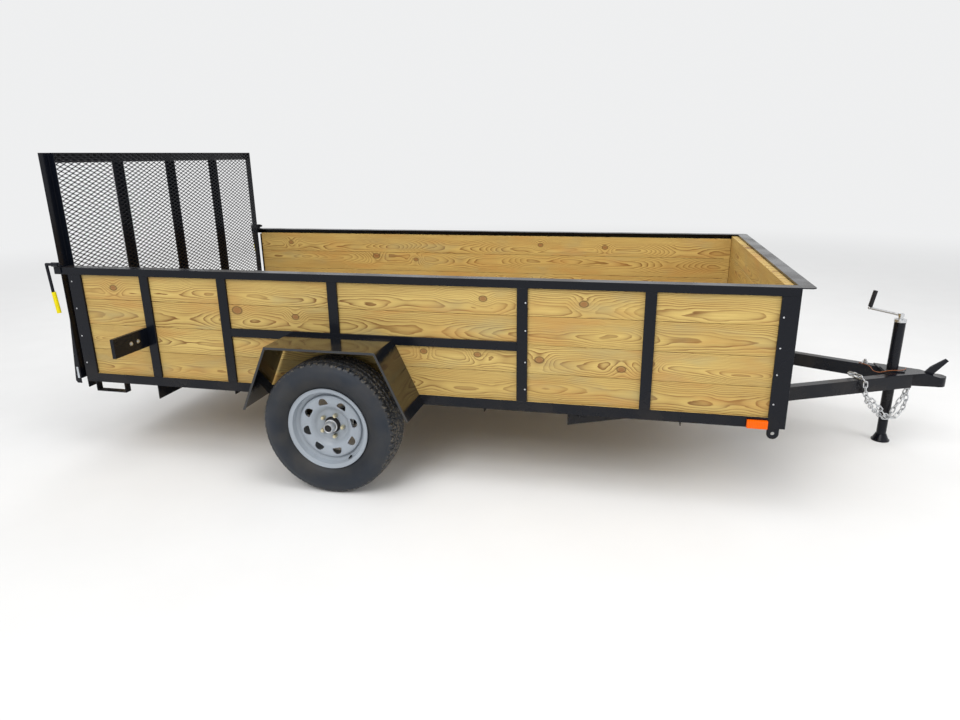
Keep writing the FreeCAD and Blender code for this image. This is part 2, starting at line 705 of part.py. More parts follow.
def tyre():
    """A tyre round the rim's seats, centred on its own axis."""
    side = TYRE_WIDTH / 2
    crown = TYRE_RADIUS
    belly = (RIM_SEAT_RADIUS + TYRE_RADIUS) / 2
    outline = [
        (RIM_SEAT_RADIUS + 0.2, RIM_HALF_WIDTH - 17), (belly + 4, side),
        (crown - 22, side - 11), (crown, side - 39),
    ]
    return turned(outline + [(radius, -y) for radius, y in outline[::-1]])


WINDOW_RADIUS = 24.5
WINDOW_CENTRE = 122.5
WINDOW_FLAT = 114.0
# How far the windows and the bolts are turned from straight up, as shares of their pitch.
WINDOW_TURN = -0.29
BOLT_TURN = 0.32


def rim():
    """A steel wheel: barrel, flanges and a dished disc with its windows."""
    half = RIM_HALF_WIDTH
    seat = RIM_SEAT_RADIUS
    lip = RIM_FLANGE_RADIUS
    well = seat - 20
    sheet = 5.0
    barrel = turned([
        (lip, half), (lip, half - 7), (seat, half - 8), (seat, half - 30),
        (well, half - 44), (well, -half + 50), (seat, -half + 30),
        (seat, -half + 8), (lip, -half + 7), (lip, -half),
        (seat - sheet, -half), (seat - sheet, -half + 32),
        (well - sheet, -half + 52), (well - sheet, half - 46),
        (seat - sheet, half - 32), (seat - sheet, half),
    ])
    hole = 42.0
    disc = turned([
        (hole, 15), (82, 15), (88, 20), (108, 42), (150, 47), (well - 2, 30),
        (well - 2, 30 + sheet), (151, 52), (107, 47), (84, 25), (80, 20), (hole, 20),
    ])
    # Each window is round towards the barrel and flat towards the hub.
    window = Part.makeCylinder(WINDOW_RADIUS, 60, V(0, 20, WINDOW_CENTRE), V(0, 1, 0))
    window = window.common(box(-60, 60, 0, 90, WINDOW_FLAT, 200))
    for i in range(WHEEL_WINDOWS):
        disc = disc.cut(spun(window, 360 / WHEEL_WINDOWS * (i + WINDOW_TURN)))
    bolt_hole = Part.makeCylinder(7, 60, V(0, 0, WHEEL_BOLT_CIRCLE / 2), V(0, 1, 0))
    for i in range(WHEEL_BOLTS):
        disc = disc.cut(spun(bolt_hole, 360 / WHEEL_BOLTS * (i + BOLT_TURN)))
    return joined([barrel, disc])


def hub():
    """Hub barrel on the spindle, its flange with studs and nuts, and the cap."""
    bore = SPINDLE_RADIUS + SPINDLE_CLEARANCE
    body = turned([
        (bore, -62), (38, -62), (38, -20), (40, -4), (72, -4), (72, 15),
        (41, 15), (41, 22), (30, 22), (30, 68), (24, 76), (0, 76), (0, 62), (bore, 62),
    ])
    pieces = [body]
    pitch_radius = WHEEL_BOLT_CIRCLE / 2
    stud = Part.makeCylinder(6.5, 26, V(0, 14, pitch_radius), V(0, 1, 0))
    nut = Part.makeCylinder(10, 16, V(0, 20, pitch_radius), V(0, 1, 0))
    for i in range(WHEEL_BOLTS):
        pieces.append(spun(stud, 360 / WHEEL_BOLTS * (i + BOLT_TURN)))
        pieces.append(spun(nut, 360 / WHEEL_BOLTS * (i + BOLT_TURN)))
    return joined(pieces)


def wheels():
    """Tyre, rim and hub on each side, their outside facing away from the bed."""
    for name, shape in (("tyre", tyre()), ("rim", rim()), ("hub", hub())):
        left = shape.copy()
        left.translate(V(AXLE_X, TRACK_HALF, AXLE_Z))
        add(name + "_left", left)
        add(name + "_right", mirrored(left))


def fender_solid(inset, y, width):
    """The fender's outer form in side view, drawn in by an inset."""
    drop = inset * 1.1
    shoulder = inset * 0.6
    return prism([
        (AXLE_X - FENDER_HALF_BOTTOM + drop, y, FENDER_BOTTOM),
        (AXLE_X - FENDER_HALF_TOP + shoulder, y, FENDER_TOP - inset),
        (AXLE_X + FENDER_HALF_TOP - shoulder, y, FENDER_TOP - inset),
        (AXLE_X + FENDER_HALF_BOTTOM - drop, y, FENDER_BOTTOM),
    ], (0, width, 0))


def fenders():
    """Folded fenders on the bed's sides, over the wheels."""
    width = FENDER_OUTER - HALF
    shell = fender_solid(0, -FENDER_OUTER, width).cut(
        fender_solid(FENDER_SHEET, -FENDER_OUTER, width))
    lip = fender_solid(0, -FENDER_OUTER, FENDER_SHEET).cut(
        fender_solid(FENDER_LIP, -FENDER_OUTER, FENDER_SHEET))
    add_pair("fender", joined([shell, lip]))


def mesh_panel():
    """The gate's expanded sheet, with wide diamond openings in staggered rows."""
    wide = 2 * GATE_INNER / MESH_ACROSS
    tall = (GATE_TOP - GATE_BOTTOM) / MESH_ROWS
    half_wide = wide / 2 - MESH_STRAND
    half_tall = half_wide * tall / wide

    def loop(points):
        placed = [V(GATE_FRONT, y, z) for y, z in points]
        return Part.makePolygon(placed + placed[:1])

    loops = [loop([(-GATE_INNER, GATE_BOTTOM), (GATE_INNER, GATE_BOTTOM),
                   (GATE_INNER, GATE_TOP), (-GATE_INNER, GATE_TOP)])]
    for row in range(2 * MESH_ROWS - 1):
        shift = row % 2
        z = GATE_BOTTOM + (row + 1) * tall / 2
        for i in range(MESH_ACROSS - shift):
            y = -GATE_INNER + (i + 0.5 + shift / 2) * wide
            loops.append(loop([(y - half_wide, z), (y, z - half_tall),
                               (y + half_wide, z), (y, z + half_tall)]))
    face = Part.makeFace(loops, "Part::FaceMakerBullseye")
    return face.extrude(V(MESH_THICK, 0, 0))


def gate():
    """Gate frame of angles with its uprights, mesh and lower corner plates."""
    side = joined([
        box(GATE_REAR, GATE_REAR + STEEL, -GATE_OUTER, -GATE_INNER, GATE_BOTTOM, GATE_TOP),
        box(GATE_REAR + STEEL, GATE_FRONT, -GATE_INNER - STEEL, -GATE_INNER,
            GATE_BOTTOM, GATE_TOP),
    ])
    add_both("gate_frame", side)
    low = GATE_BOTTOM + FRAME_LEG
    high = GATE_TOP - FRAME_LEG
    for z0, z1, shelf in ((GATE_BOTTOM, low, GATE_BOTTOM),
                          (high, GATE_TOP, GATE_TOP - STEEL)):
        add("gate_bars", joined([
            box(GATE_REAR, GATE_REAR + STEEL, -GATE_INNER, GATE_INNER, z0, z1),
            box(GATE_REAR + STEEL, GATE_FRONT, -GATE_INNER, GATE_INNER,
                shelf, shelf + STEEL),
        ]))
    pitch = 2 * GATE_INNER / (GATE_UPRIGHTS + 1)
    half = GATE_UPRIGHT_WIDTH / 2
    for i in range(GATE_UPRIGHTS):
        y = -GATE_INNER + (i + 1) * pitch
        add("gate_uprights", joined([
            box(GATE_REAR, GATE_REAR + STEEL, y - half, y + half, low, high),
            box(GATE_REAR + STEEL, GATE_FRONT, y + half - STEEL, y + half, low, high),
        ]))
    add("gate_mesh", mesh_panel())
    gusset = prism([
        (GATE_REAR, -GATE_OUTER, GATE_BOTTOM + GUSSET_RISE),
        (GATE_REAR - GUSSET_DEPTH, -GATE_OUTER, GATE_BOTTOM - GUSSET_DROP / 2),
        (GATE_REAR - GUSSET_DEPTH * 0.7, -GATE_OUTER, GATE_BOTTOM - GUSSET_DROP),
        (GATE_REAR, -GATE_OUTER, GATE_BOTTOM - GUSSET_DROP),
    ], (0, STEEL, 0))
    add_both("gate_gussets", gusset)


def hinges():
    """Barrels under the gate, and the frame's tabs with their pins."""
    half = HINGE_LENGTH / 2
    near = half + 2
    far = near + HINGE_TAB

    def along(radius, y0, y1):
        return cylinder(radius, V(HINGE_X, y0, HINGE_Z), V(HINGE_X, y1, HINGE_Z))

    bore = HINGE_PIN_RADIUS + HINGE_CLEARANCE
    for y in (-HINGE_SPREAD, 0.0, HINGE_SPREAD):
        web = box(HINGE_X, HINGE_X + STEEL, y - half, y + half, HINGE_Z + 8, GATE_BOTTOM)
        barrel = joined([along(HINGE_RADIUS, y - half, y + half), web])
        add("gate_hinges", barrel.cut(along(bore, y - half, y + half)))
        pieces = [along(HINGE_PIN_RADIUS, y - far, y + far)]
        for y0, y1 in ((y - far, y - near), (y + near, y + far)):
            pieces.append(along(HINGE_RADIUS, y0, y1))
            pieces.append(box(HINGE_X, 0, y0, y1, HINGE_Z - 8, HINGE_Z + 4))
            pieces.append(box(-6, 0, y0, y1, HINGE_Z - 8, FRAME_BOTTOM + 20))
        add("frame_hinges", joined(pieces))


# Latch rod from its bend to the ends of the bare rod and of the grip: x, fall.
LATCH_ROD_END = (-101.0, 158.0)
LATCH_GRIP_START = (-99.0, 150.0)
LATCH_GRIP_END = (-88.0, 266.0)


def latches():
    """Bent latch rods in sleeves beside the rail ends, with their vinyl grips."""
    y = -HALF - LATCH_SLEEVE_RADIUS
    z = RAIL_TOP + 16
    bend = V(LATCH_ROD_X, y, z)
    sleeve = (-76.0, -34.0)
    holder = joined([
        cylinder(LATCH_SLEEVE_RADIUS, V(sleeve[0], y, z), V(sleeve[1], y, z)),
        box(sleeve[0], sleeve[1], -HALF - 6, -HALF, RAIL_LEG_BOTTOM + 8, z),
    ])
    rod = joined([
        cylinder(LATCH_ROD_RADIUS, bend, V(-20, y, z)),
        Part.makeSphere(LATCH_ROD_RADIUS, bend),
        cylinder(LATCH_ROD_RADIUS, bend, V(LATCH_ROD_END[0], y, z - LATCH_ROD_END[1])),
    ])
    grip = cylinder(LATCH_ROD_RADIUS + 3,
                    V(LATCH_GRIP_START[0], y, z - LATCH_GRIP_START[1]),
                    V(LATCH_GRIP_END[0], y, z - LATCH_GRIP_END[1]))
    add_both("latch_rods", rod)
    add_both("latch_sleeves", holder.cut(rod))
    add_both("latch_grips", grip.cut(rod))


LAMP_BOX_DEPTH = 20.0
LAMP_BOX_REACH = 246.0
LAMP_BOX_HEIGHT = 101.0
LAMP_BOX_Z = 224.0
LENS_RADIUS = 28.0
LENS_LENGTH = 165.0
LENS_THICK = 10.0
MARKER_LENGTH = 89.0
MARKER_HEIGHT = 38.0


def lights():
    """Tail lamp boxes with their lamps, and the amber side markers."""
    x1 = SIDE_POSTS[0]
    x0 = x1 - LAMP_BOX_DEPTH
    outer = -HALF - LAMP_BOX_REACH
    z0 = FRAME_BOTTOM + LAMP_BOX_Z
    z1 = z0 + LAMP_BOX_HEIGHT
    add_both("tail_lamp_boxes", box(x0, x1, outer, -WOOD_OUTER, z0, z1))
    middle = (z0 + z1) / 2
    lens_x = x0 - LENS_THICK
    lens_y = (outer - HALF) / 2
    ends = [lens_y - LENS_LENGTH / 2 + LENS_RADIUS, lens_y + LENS_LENGTH / 2 - LENS_RADIUS]
    pieces = [box(lens_x, x0, ends[0], ends[1], middle - LENS_RADIUS, middle + LENS_RADIUS)]
    for y in ends:
        pieces.append(Part.makeCylinder(LENS_RADIUS, LENS_THICK, V(lens_x, y, middle),
                                        V(1, 0, 0)))
    add_both("tail_lamps", joined(pieces))
    x1 = BED_LENGTH - CORNER_POST_WIDTH
    add_both("side_markers", box(x1 - MARKER_LENGTH, x1, -HALF - 20, -HALF,
                                 FRAME_BOTTOM + 1, FRAME_BOTTOM + 1 + MARKER_HEIGHT))


def brackets():
    """Strap loops under the rails and the ears under the front corners."""
    x0 = STRAP_LOOP_X
    x1 = x0 + STRAP_LOOP_LENGTH
    low = FRAME_BOTTOM - STRAP_LOOP_DROP
    edge = -HALF + RAIL_LEG
    add_both("strap_loops", joined([
        box(x0, x0 + BAR_THICK, -HALF, edge, low, FRAME_BOTTOM),
        box(x1 - BAR_THICK, x1, -HALF, edge, low, FRAME_BOTTOM),
        box(x0, x1, -HALF, edge, low, low + BAR_THICK),
    ]))
    ear_x = BED_LENGTH - TIE_EAR_SETBACK
    hole_z = FRAME_BOTTOM - TIE_EAR_RADIUS
    centre = V(ear_x, -INNER, hole_z)
    ear = joined([
        box(ear_x - TIE_EAR_RADIUS, ear_x + TIE_EAR_RADIUS, -INNER, -INNER + BAR_THICK,
            hole_z, FRAME_BOTTOM),
        Part.makeCylinder(TIE_EAR_RADIUS, BAR_THICK, centre, V(0, 1, 0)),
    ])
    hole = Part.makeCylinder(TIE_EAR_HOLE_RADIUS, BAR_THICK, centre, V(0, 1, 0))
    add_both("tie_ears", ear.cut(hole))


def main():
    bottom_frame()
    cross_members()
    floor_planks()
    uprights()
    top_rails()
    middle_rails()
    boards()
    tongue()
    coupler()
    chains()
    lamp_wire()
    jack()
    axle()
    wheels()
    fenders()
    gate()
    hinges()
    latches()
    lights()
    brackets()
    for name, shapes in NODES.items():
        shape = shapes[0] if len(shapes) == 1 else Part.makeCompound(shapes)
        shape.translate(V(SHIFT_X, 0, 0))
        shape.exportStep("parts/" + name + ".step")
        print(name, "solids", len(shape.Solids), "valid", shape.isValid(),
              "volume", round(shape.Volume / 1e6, 3))
    print("nodes", len(NODES), "shift", SHIFT_X)


main()
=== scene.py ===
import json
import math
import random

import bmesh
import bpy
from mathutils import Matrix, Vector


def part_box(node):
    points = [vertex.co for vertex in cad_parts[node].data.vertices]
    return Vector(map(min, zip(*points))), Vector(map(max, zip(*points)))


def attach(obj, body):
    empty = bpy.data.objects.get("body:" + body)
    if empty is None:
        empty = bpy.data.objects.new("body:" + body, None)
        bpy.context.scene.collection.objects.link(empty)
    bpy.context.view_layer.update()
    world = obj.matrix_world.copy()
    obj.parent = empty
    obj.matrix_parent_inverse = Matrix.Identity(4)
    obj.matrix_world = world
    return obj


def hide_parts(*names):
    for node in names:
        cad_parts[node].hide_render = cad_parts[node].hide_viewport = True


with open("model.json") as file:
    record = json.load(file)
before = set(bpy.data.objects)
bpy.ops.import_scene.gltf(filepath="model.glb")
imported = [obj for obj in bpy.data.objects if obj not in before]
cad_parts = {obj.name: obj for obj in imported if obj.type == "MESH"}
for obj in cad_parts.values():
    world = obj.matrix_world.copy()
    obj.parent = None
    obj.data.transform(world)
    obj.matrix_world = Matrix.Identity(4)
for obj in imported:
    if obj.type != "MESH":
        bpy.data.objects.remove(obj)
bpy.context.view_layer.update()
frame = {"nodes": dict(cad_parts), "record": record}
nodes = frame["nodes"]
slots = {row["node"]: row["material_slot"] for row in frame["record"]["subparts"]}
body_of = {n: body for body, ns in frame["record"]["behaviour"]["bodies"].items() for n in ns}
random.seed(7)

# Places are written in metres from the rear face of the bed's rear corner posts.
BED = -2.2815
BED_LENGTH = 3.6576
MM = 0.001
# Half the bed's width, the axle, the wheels' middle, the frame's and the floor's top.
HALF = 1.016
AXLE_X = 1.548
AXLE_Z = 0.340
TRACK_HALF = 1.150
FRAME_TOP = 0.4708
# Width of a side or front board.
BOARD = 0.1397
# The front boards start this much above the side ones.
FRONT_RISE = 0.02
# Floor planks, half the width over all of them, and the width of one.
PLANKS = 14
PLANKS_HALF = 1.0112
PLANK = 2 * PLANKS_HALF / PLANKS

# The jack, the tongue tubes' lower and upper edges, the chains' wire and links, in mm.
JACK_X = 4408.0
TONGUE_BOTTOM = 343.8
TONGUE_TOP = 420.0
CHAIN_WIRE = 7.0
CHAIN_PITCH = 31.5
CHAIN_WIDTH = 26.7
# Steps round a link's end, and sides of its wire.
LINK_ARC = 8
LINK_SIDES = 8
# Course of each chain: distance ahead of the jack, y, and height above the tubes' lower edge.
NEAR_CHAIN = [
    (-214.2, -209.4, 90.4), (-201.5, -231, 92), (-198, -232, 58), (-188, -219, 10),
    (-171, -195, -41), (-113, -134, -109), (-62, -83, -157.3), (-27, -50, -188.3),
    (6, -50, -188.3), (23, -42, -146), (53, -36, -82), (81.5, -30.5, -13.6),
]
FAR_CHAIN = [
    (-260, -140, 90.4), (-228, -124, 84), (-196, -118, 58), (-176, -113, 8),
    (-158, -111, -30), (-118, -110, -66), (-73, -103, -106), (-33, -100, -153),
    (7, -97, -182.3), (50, -79, -139), (83, -37, -99), (94, -4, -52), (103, 22, -4.5),
]
# Course of the lamp wire: distance ahead of the jack, y, and height above the tubes.
LAMP_WIRE = [
    (-133, 128, 2.4), (-107, 92, 4), (-100, 40, 7), (-108, -12, 9), (-112, -60, 10),
    (-90, -84, 10.5), (-56, -60, 12), (-18, -44, 14.5), (17, -40, 14.5), (50, -22, 14),
    (72, 8, 10), (84, 42, 7.4),
]
WIRE_RADIUS = 0.002
# The pale background that the camera sees, and the light that comes from all round.
BACKGROUND = (0.86, 0.865, 0.87, 1.0)
AMBIENT = (0.6554, 0.66525, 0.68, 1.0)
# Half the floor's size, and between which distances it turns into the background.
FLOOR_REACH = 60.0
FLOOR_FADE = (4.5, 13.0)
# Soft lamps: name, place, what it points at, width and power.
LAMPS = [
    ("key", (-2.4, -11.0, 11.0), (0.0, 0.0, 0.5), 8.0, 1000.0),
    ("fill", (6.5, -3.0, 4.0), (0.5, 0.0, 0.5), 4.0, 160.0),
    ("over", (0.0, -1.6, 4.6), (0.0, 1.0, 0.7), 2.5, 75.0),
    ("back", (-3.0, 6.5, 5.0), (0.0, 0.0, 0.6), 5.0, 190.0),
]
# The camera: its place, its turn, tilt and roll in degrees, and its focal length.
CAMERA_PLACE = (0.6793, -4.0349, 1.6100)
CAMERA_ANGLES = (-12.969, -16.914, -0.721)
CAMERA_LENS = 25.309
# Rounding of the edges of steel, folded sheet, boards, lenses, the crank and its grip.
STEEL_EDGE = 0.0012
SHEET_EDGE = 0.0011
BOARD_EDGE = 0.0028
LENS_EDGE = 0.003
CRANK_EDGE = 0.001
GRIP_EDGE = 0.002
# In a CAD node, points this near are one, and faces this flat, in degrees, are one.
SAME_POINT = 2e-6
SAME_PLANE = 0.5


class Shade:
    """One procedural material, with short ways to add its nodes."""

    def __init__(self, name):
        self.material = bpy.data.materials.new(name)
        self.material.use_nodes = True
        self.tree = self.material.node_tree
        self.shader = self.tree.nodes["Principled BSDF"]
        self.place = self.add("ShaderNodeTexCoord").outputs["Object"]

    def put(self, socket, value):
        if isinstance(value, bpy.types.NodeSocket):
            self.tree.links.new(value, socket)
        else:
            socket.default_value = value

    def add(self, kind, inputs=None, **settings):
        node = self.tree.nodes.new(kind)
        for key, value in settings.items():
            setattr(node, key, value)
        for key, value in (inputs or {}).items():
            self.put(node.inputs[key], value)
        return node

    def math(self, kind, a, b=0.0):
        return self.add("ShaderNodeMath", {0: a, 1: b}, operation=kind).outputs[0]

    def split(self, vector):
        return self.add("ShaderNodeSeparateXYZ", {0: vector}).outputs

    def vector(self, x, y, z):
        return self.add("ShaderNodeCombineXYZ", {0: x, 1: y, 2: z}).outputs[0]

    def noise(self, scale, detail=3.0, vector=None, rough=0.5):
        place = self.place if vector is None else vector
        values = {"Vector": place, "Scale": scale, "Detail": detail, "Roughness": rough}
        return self.add("ShaderNodeTexNoise", values).outputs["Fac"]

    def between(self, value, low, high, first=0.0, last=1.0):
        values = {"Value": value, "From Min": low, "From Max": high,
                  "To Min": first, "To Max": last}
        node = self.add("ShaderNodeMapRange", values, interpolation_type="SMOOTHSTEP")
        return node.outputs["Result"]

    def mix(self, factor, first, second):
        node = self.add("ShaderNodeMix", data_type="RGBA")
        self.put(node.inputs[0], factor)
        self.put(node.inputs[6], first)
        self.put(node.inputs[7], second)
        return node.outputs[2]

    def bump(self, height, distance, strength=1.0):
        values = {"Height": height, "Distance": distance, "Strength": strength}
        node = self.add("ShaderNodeBump", values)
        self.put(self.shader.inputs["Normal"], node.outputs[0])

    def surface(self, **values):
        for key, value in values.items():
            self.put(self.shader.inputs[key.replace("_", " ")], value)


def rgb(red, green, blue):
    return (red, green, blue, 1.0)


# Dust on paint and on tyres, dull zinc, and rubber in the tread and on the side wall; the
# side wall's blue tint is a painted sky sheen.
DUST = rgb(0.16, 0.125, 0.085)
ROAD_DUST = rgb(0.19, 0.16, 0.115)
DULL_ZINC = rgb(0.33, 0.32, 0.3)
TREAD_RUBBER = rgb(0.008, 0.0105, 0.015)
WALL_RUBBER_AND_SHEEN = rgb(0.011, 0.016, 0.025)
# Pine: pale and deep early wood, late wood, fibres, stain, greyed and reddish patches,
# a knot, and the dark line round it.
PALE_WOOD = rgb(0.615, 0.45, 0.148)
DEEP_WOOD = rgb(0.52, 0.36, 0.11)
LATE_WOOD = rgb(0.175, 0.072, 0.018)
FIBRE = rgb(0.3, 0.175, 0.05)
STAIN = rgb(0.4, 0.23, 0.06)
GREYED = rgb(0.33, 0.29, 0.15)
REDDISH = rgb(0.47, 0.245, 0.066)
KNOT = rgb(0.25, 0.1, 0.032)
KNOT_RIM = rgb(0.09, 0.036, 0.012)
# Distance between two year rings, before ragged and curled grain are added.
YEAR_RING = 0.0061
# Half the distance between two ribs of a lens.
LENS_RIB = 0.0035


def paint(name, colour, rough, coat, dust, gloss):
    """Gloss paint with a slight orange peel and dust on its low and upper faces."""
    s = Shade(name)
    cloud = s.noise(5.0, 6.0)
    specks = s.noise(140.0, 3.0)
    height = s.split(s.place)[2]
    low = s.between(height, 0.25, 0.62, 1.0, 0.0)
    up = s.between(s.split(s.add("ShaderNodeNewGeometry").outputs["Normal"])[2], 0.5, 1.0)
    patches = s.between(cloud, 0.38, 0.72)
    settled = s.math("ADD", s.math("MULTIPLY", low, 0.55), s.math("MULTIPLY", up, 0.5))
    film = s.math("MULTIPLY", s.math("MULTIPLY", settled, patches), dust)
    film = s.math("ADD", film, s.math("MULTIPLY", s.between(specks, 0.66, 0.8), dust * 0.25))
    s.surface(Base_Color=s.mix(film, colour, DUST),
              Roughness=s.math("ADD", s.between(cloud, 0.3, 0.7, rough - 0.05, rough + 0.07),
                               s.math("MULTIPLY", film, 0.6)))
    s.shader.inputs["Specular IOR Level"].default_value = gloss
    s.shader.inputs["Coat Weight"].default_value = coat
    s.shader.inputs["Coat Roughness"].default_value = 0.08
    s.bump(s.noise(420.0, 2.0), 0.0004, 0.35)
    return s.material


def zinc(name, colour, rough):
    """Zinc plate: bright, with faint crystals and dull patches."""
    s = Shade(name)
    crystals = s.add("ShaderNodeTexVoronoi", {"Vector": s.place, "Scale": 260.0})
    cloud = s.noise(35.0, 5.0)
    tone = s.math("MULTIPLY", s.split(crystals.outputs["Color"])[0], 0.35)
    shade = s.mix(tone, colour, rgb(colour[0] * 0.72, colour[1] * 0.74, colour[2] * 0.8))
    dull = s.between(cloud, 0.5, 0.75)
    s.surface(Base_Color=s.mix(s.math("MULTIPLY", dull, 0.5), shade, DULL_ZINC),
              Roughness=s.between(cloud, 0.3, 0.7, rough, rough + 0.2))
    s.shader.inputs["Metallic"].default_value = 1.0
    s.bump(s.noise(300.0, 3.0), 0.0003, 0.3)
    return s.material


def rubber(name):
    """Tyre rubber, with dust in the tread and on the side wall, and a painted blue sheen on
    the side wall.
    """
    s = Shade(name)
    place = s.split(s.place)
    across = s.math("SUBTRACT", place[0], BED + AXLE_X)
    rise = s.math("SUBTRACT", place[2], AXLE_Z)
    radius = s.math("SQRT", s.math("ADD", s.math("MULTIPLY", across, across),
                                   s.math("MULTIPLY", rise, rise)))
    cloud = s.noise(9.0, 6.0)
    fine = s.noise(160.0, 4.0)
    worn = s.between(radius, 0.315, 0.34)
    film = s.math("MULTIPLY", s.between(cloud, 0.35, 0.75), 0.1)
    grit = s.between(s.noise(85.0, 3.0), 0.52, 0.66, 0.06, 0.75)
    film = s.math("ADD", film, s.math("MULTIPLY", worn, grit))
    # The side wall's colour is rubber with a painted blue sheen on it.
    base = s.mix(s.between(radius, 0.225, 0.29), TREAD_RUBBER, WALL_RUBBER_AND_SHEEN)
    s.surface(Base_Color=s.mix(film, base, ROAD_DUST),
              Roughness=s.between(cloud, 0.3, 0.7, 0.42, 0.6))
    s.shader.inputs["Specular IOR Level"].default_value = 0.35
    lines = s.math("SINE", s.math("MULTIPLY", radius, 2400.0))
    s.bump(s.math("ADD", fine, s.math("MULTIPLY", lines, 0.15)), 0.0006, 0.4)
    return s.material


def plastic(name, colour, rough):
    """Moulded plastic with a light grain and faint stains."""
    s = Shade(name)
    cloud = s.noise(30.0, 4.0)
    dark = rgb(colour[0] * 0.62, colour[1] * 0.6, colour[2] * 0.58)
    s.surface(Base_Color=s.mix(s.between(cloud, 0.45, 0.8, 0.0, 0.55), colour, dark),
              Roughness=s.between(cloud, 0.3, 0.7, rough, rough + 0.12))
    s.shader.inputs["Specular IOR Level"].default_value = 0.25
    s.bump(s.noise(700.0, 2.0), 0.0003, 0.2)
    return s.material


def lens(name, colour, along):
    """Lamp lens, deep coloured, with fine optic ribs across it."""
    s = Shade(name)
    line = s.split(s.place)[along]
    ribs = s.math("PINGPONG", line, LENS_RIB)
    s.surface(Base_Color=s.mix(s.between(ribs, 0.0, LENS_RIB, 0.0, 0.5), colour,
                               rgb(colour[0] * 0.45, colour[1] * 0.35, colour[2] * 0.3)),
              Roughness=s.between(s.noise(50.0), 0.3, 0.7, 0.08, 0.2))
    s.shader.inputs["Specular IOR Level"].default_value = 0.12
    s.shader.inputs["Coat Weight"].default_value = 0.1
    s.bump(ribs, 0.003, 0.6)
    return s.material


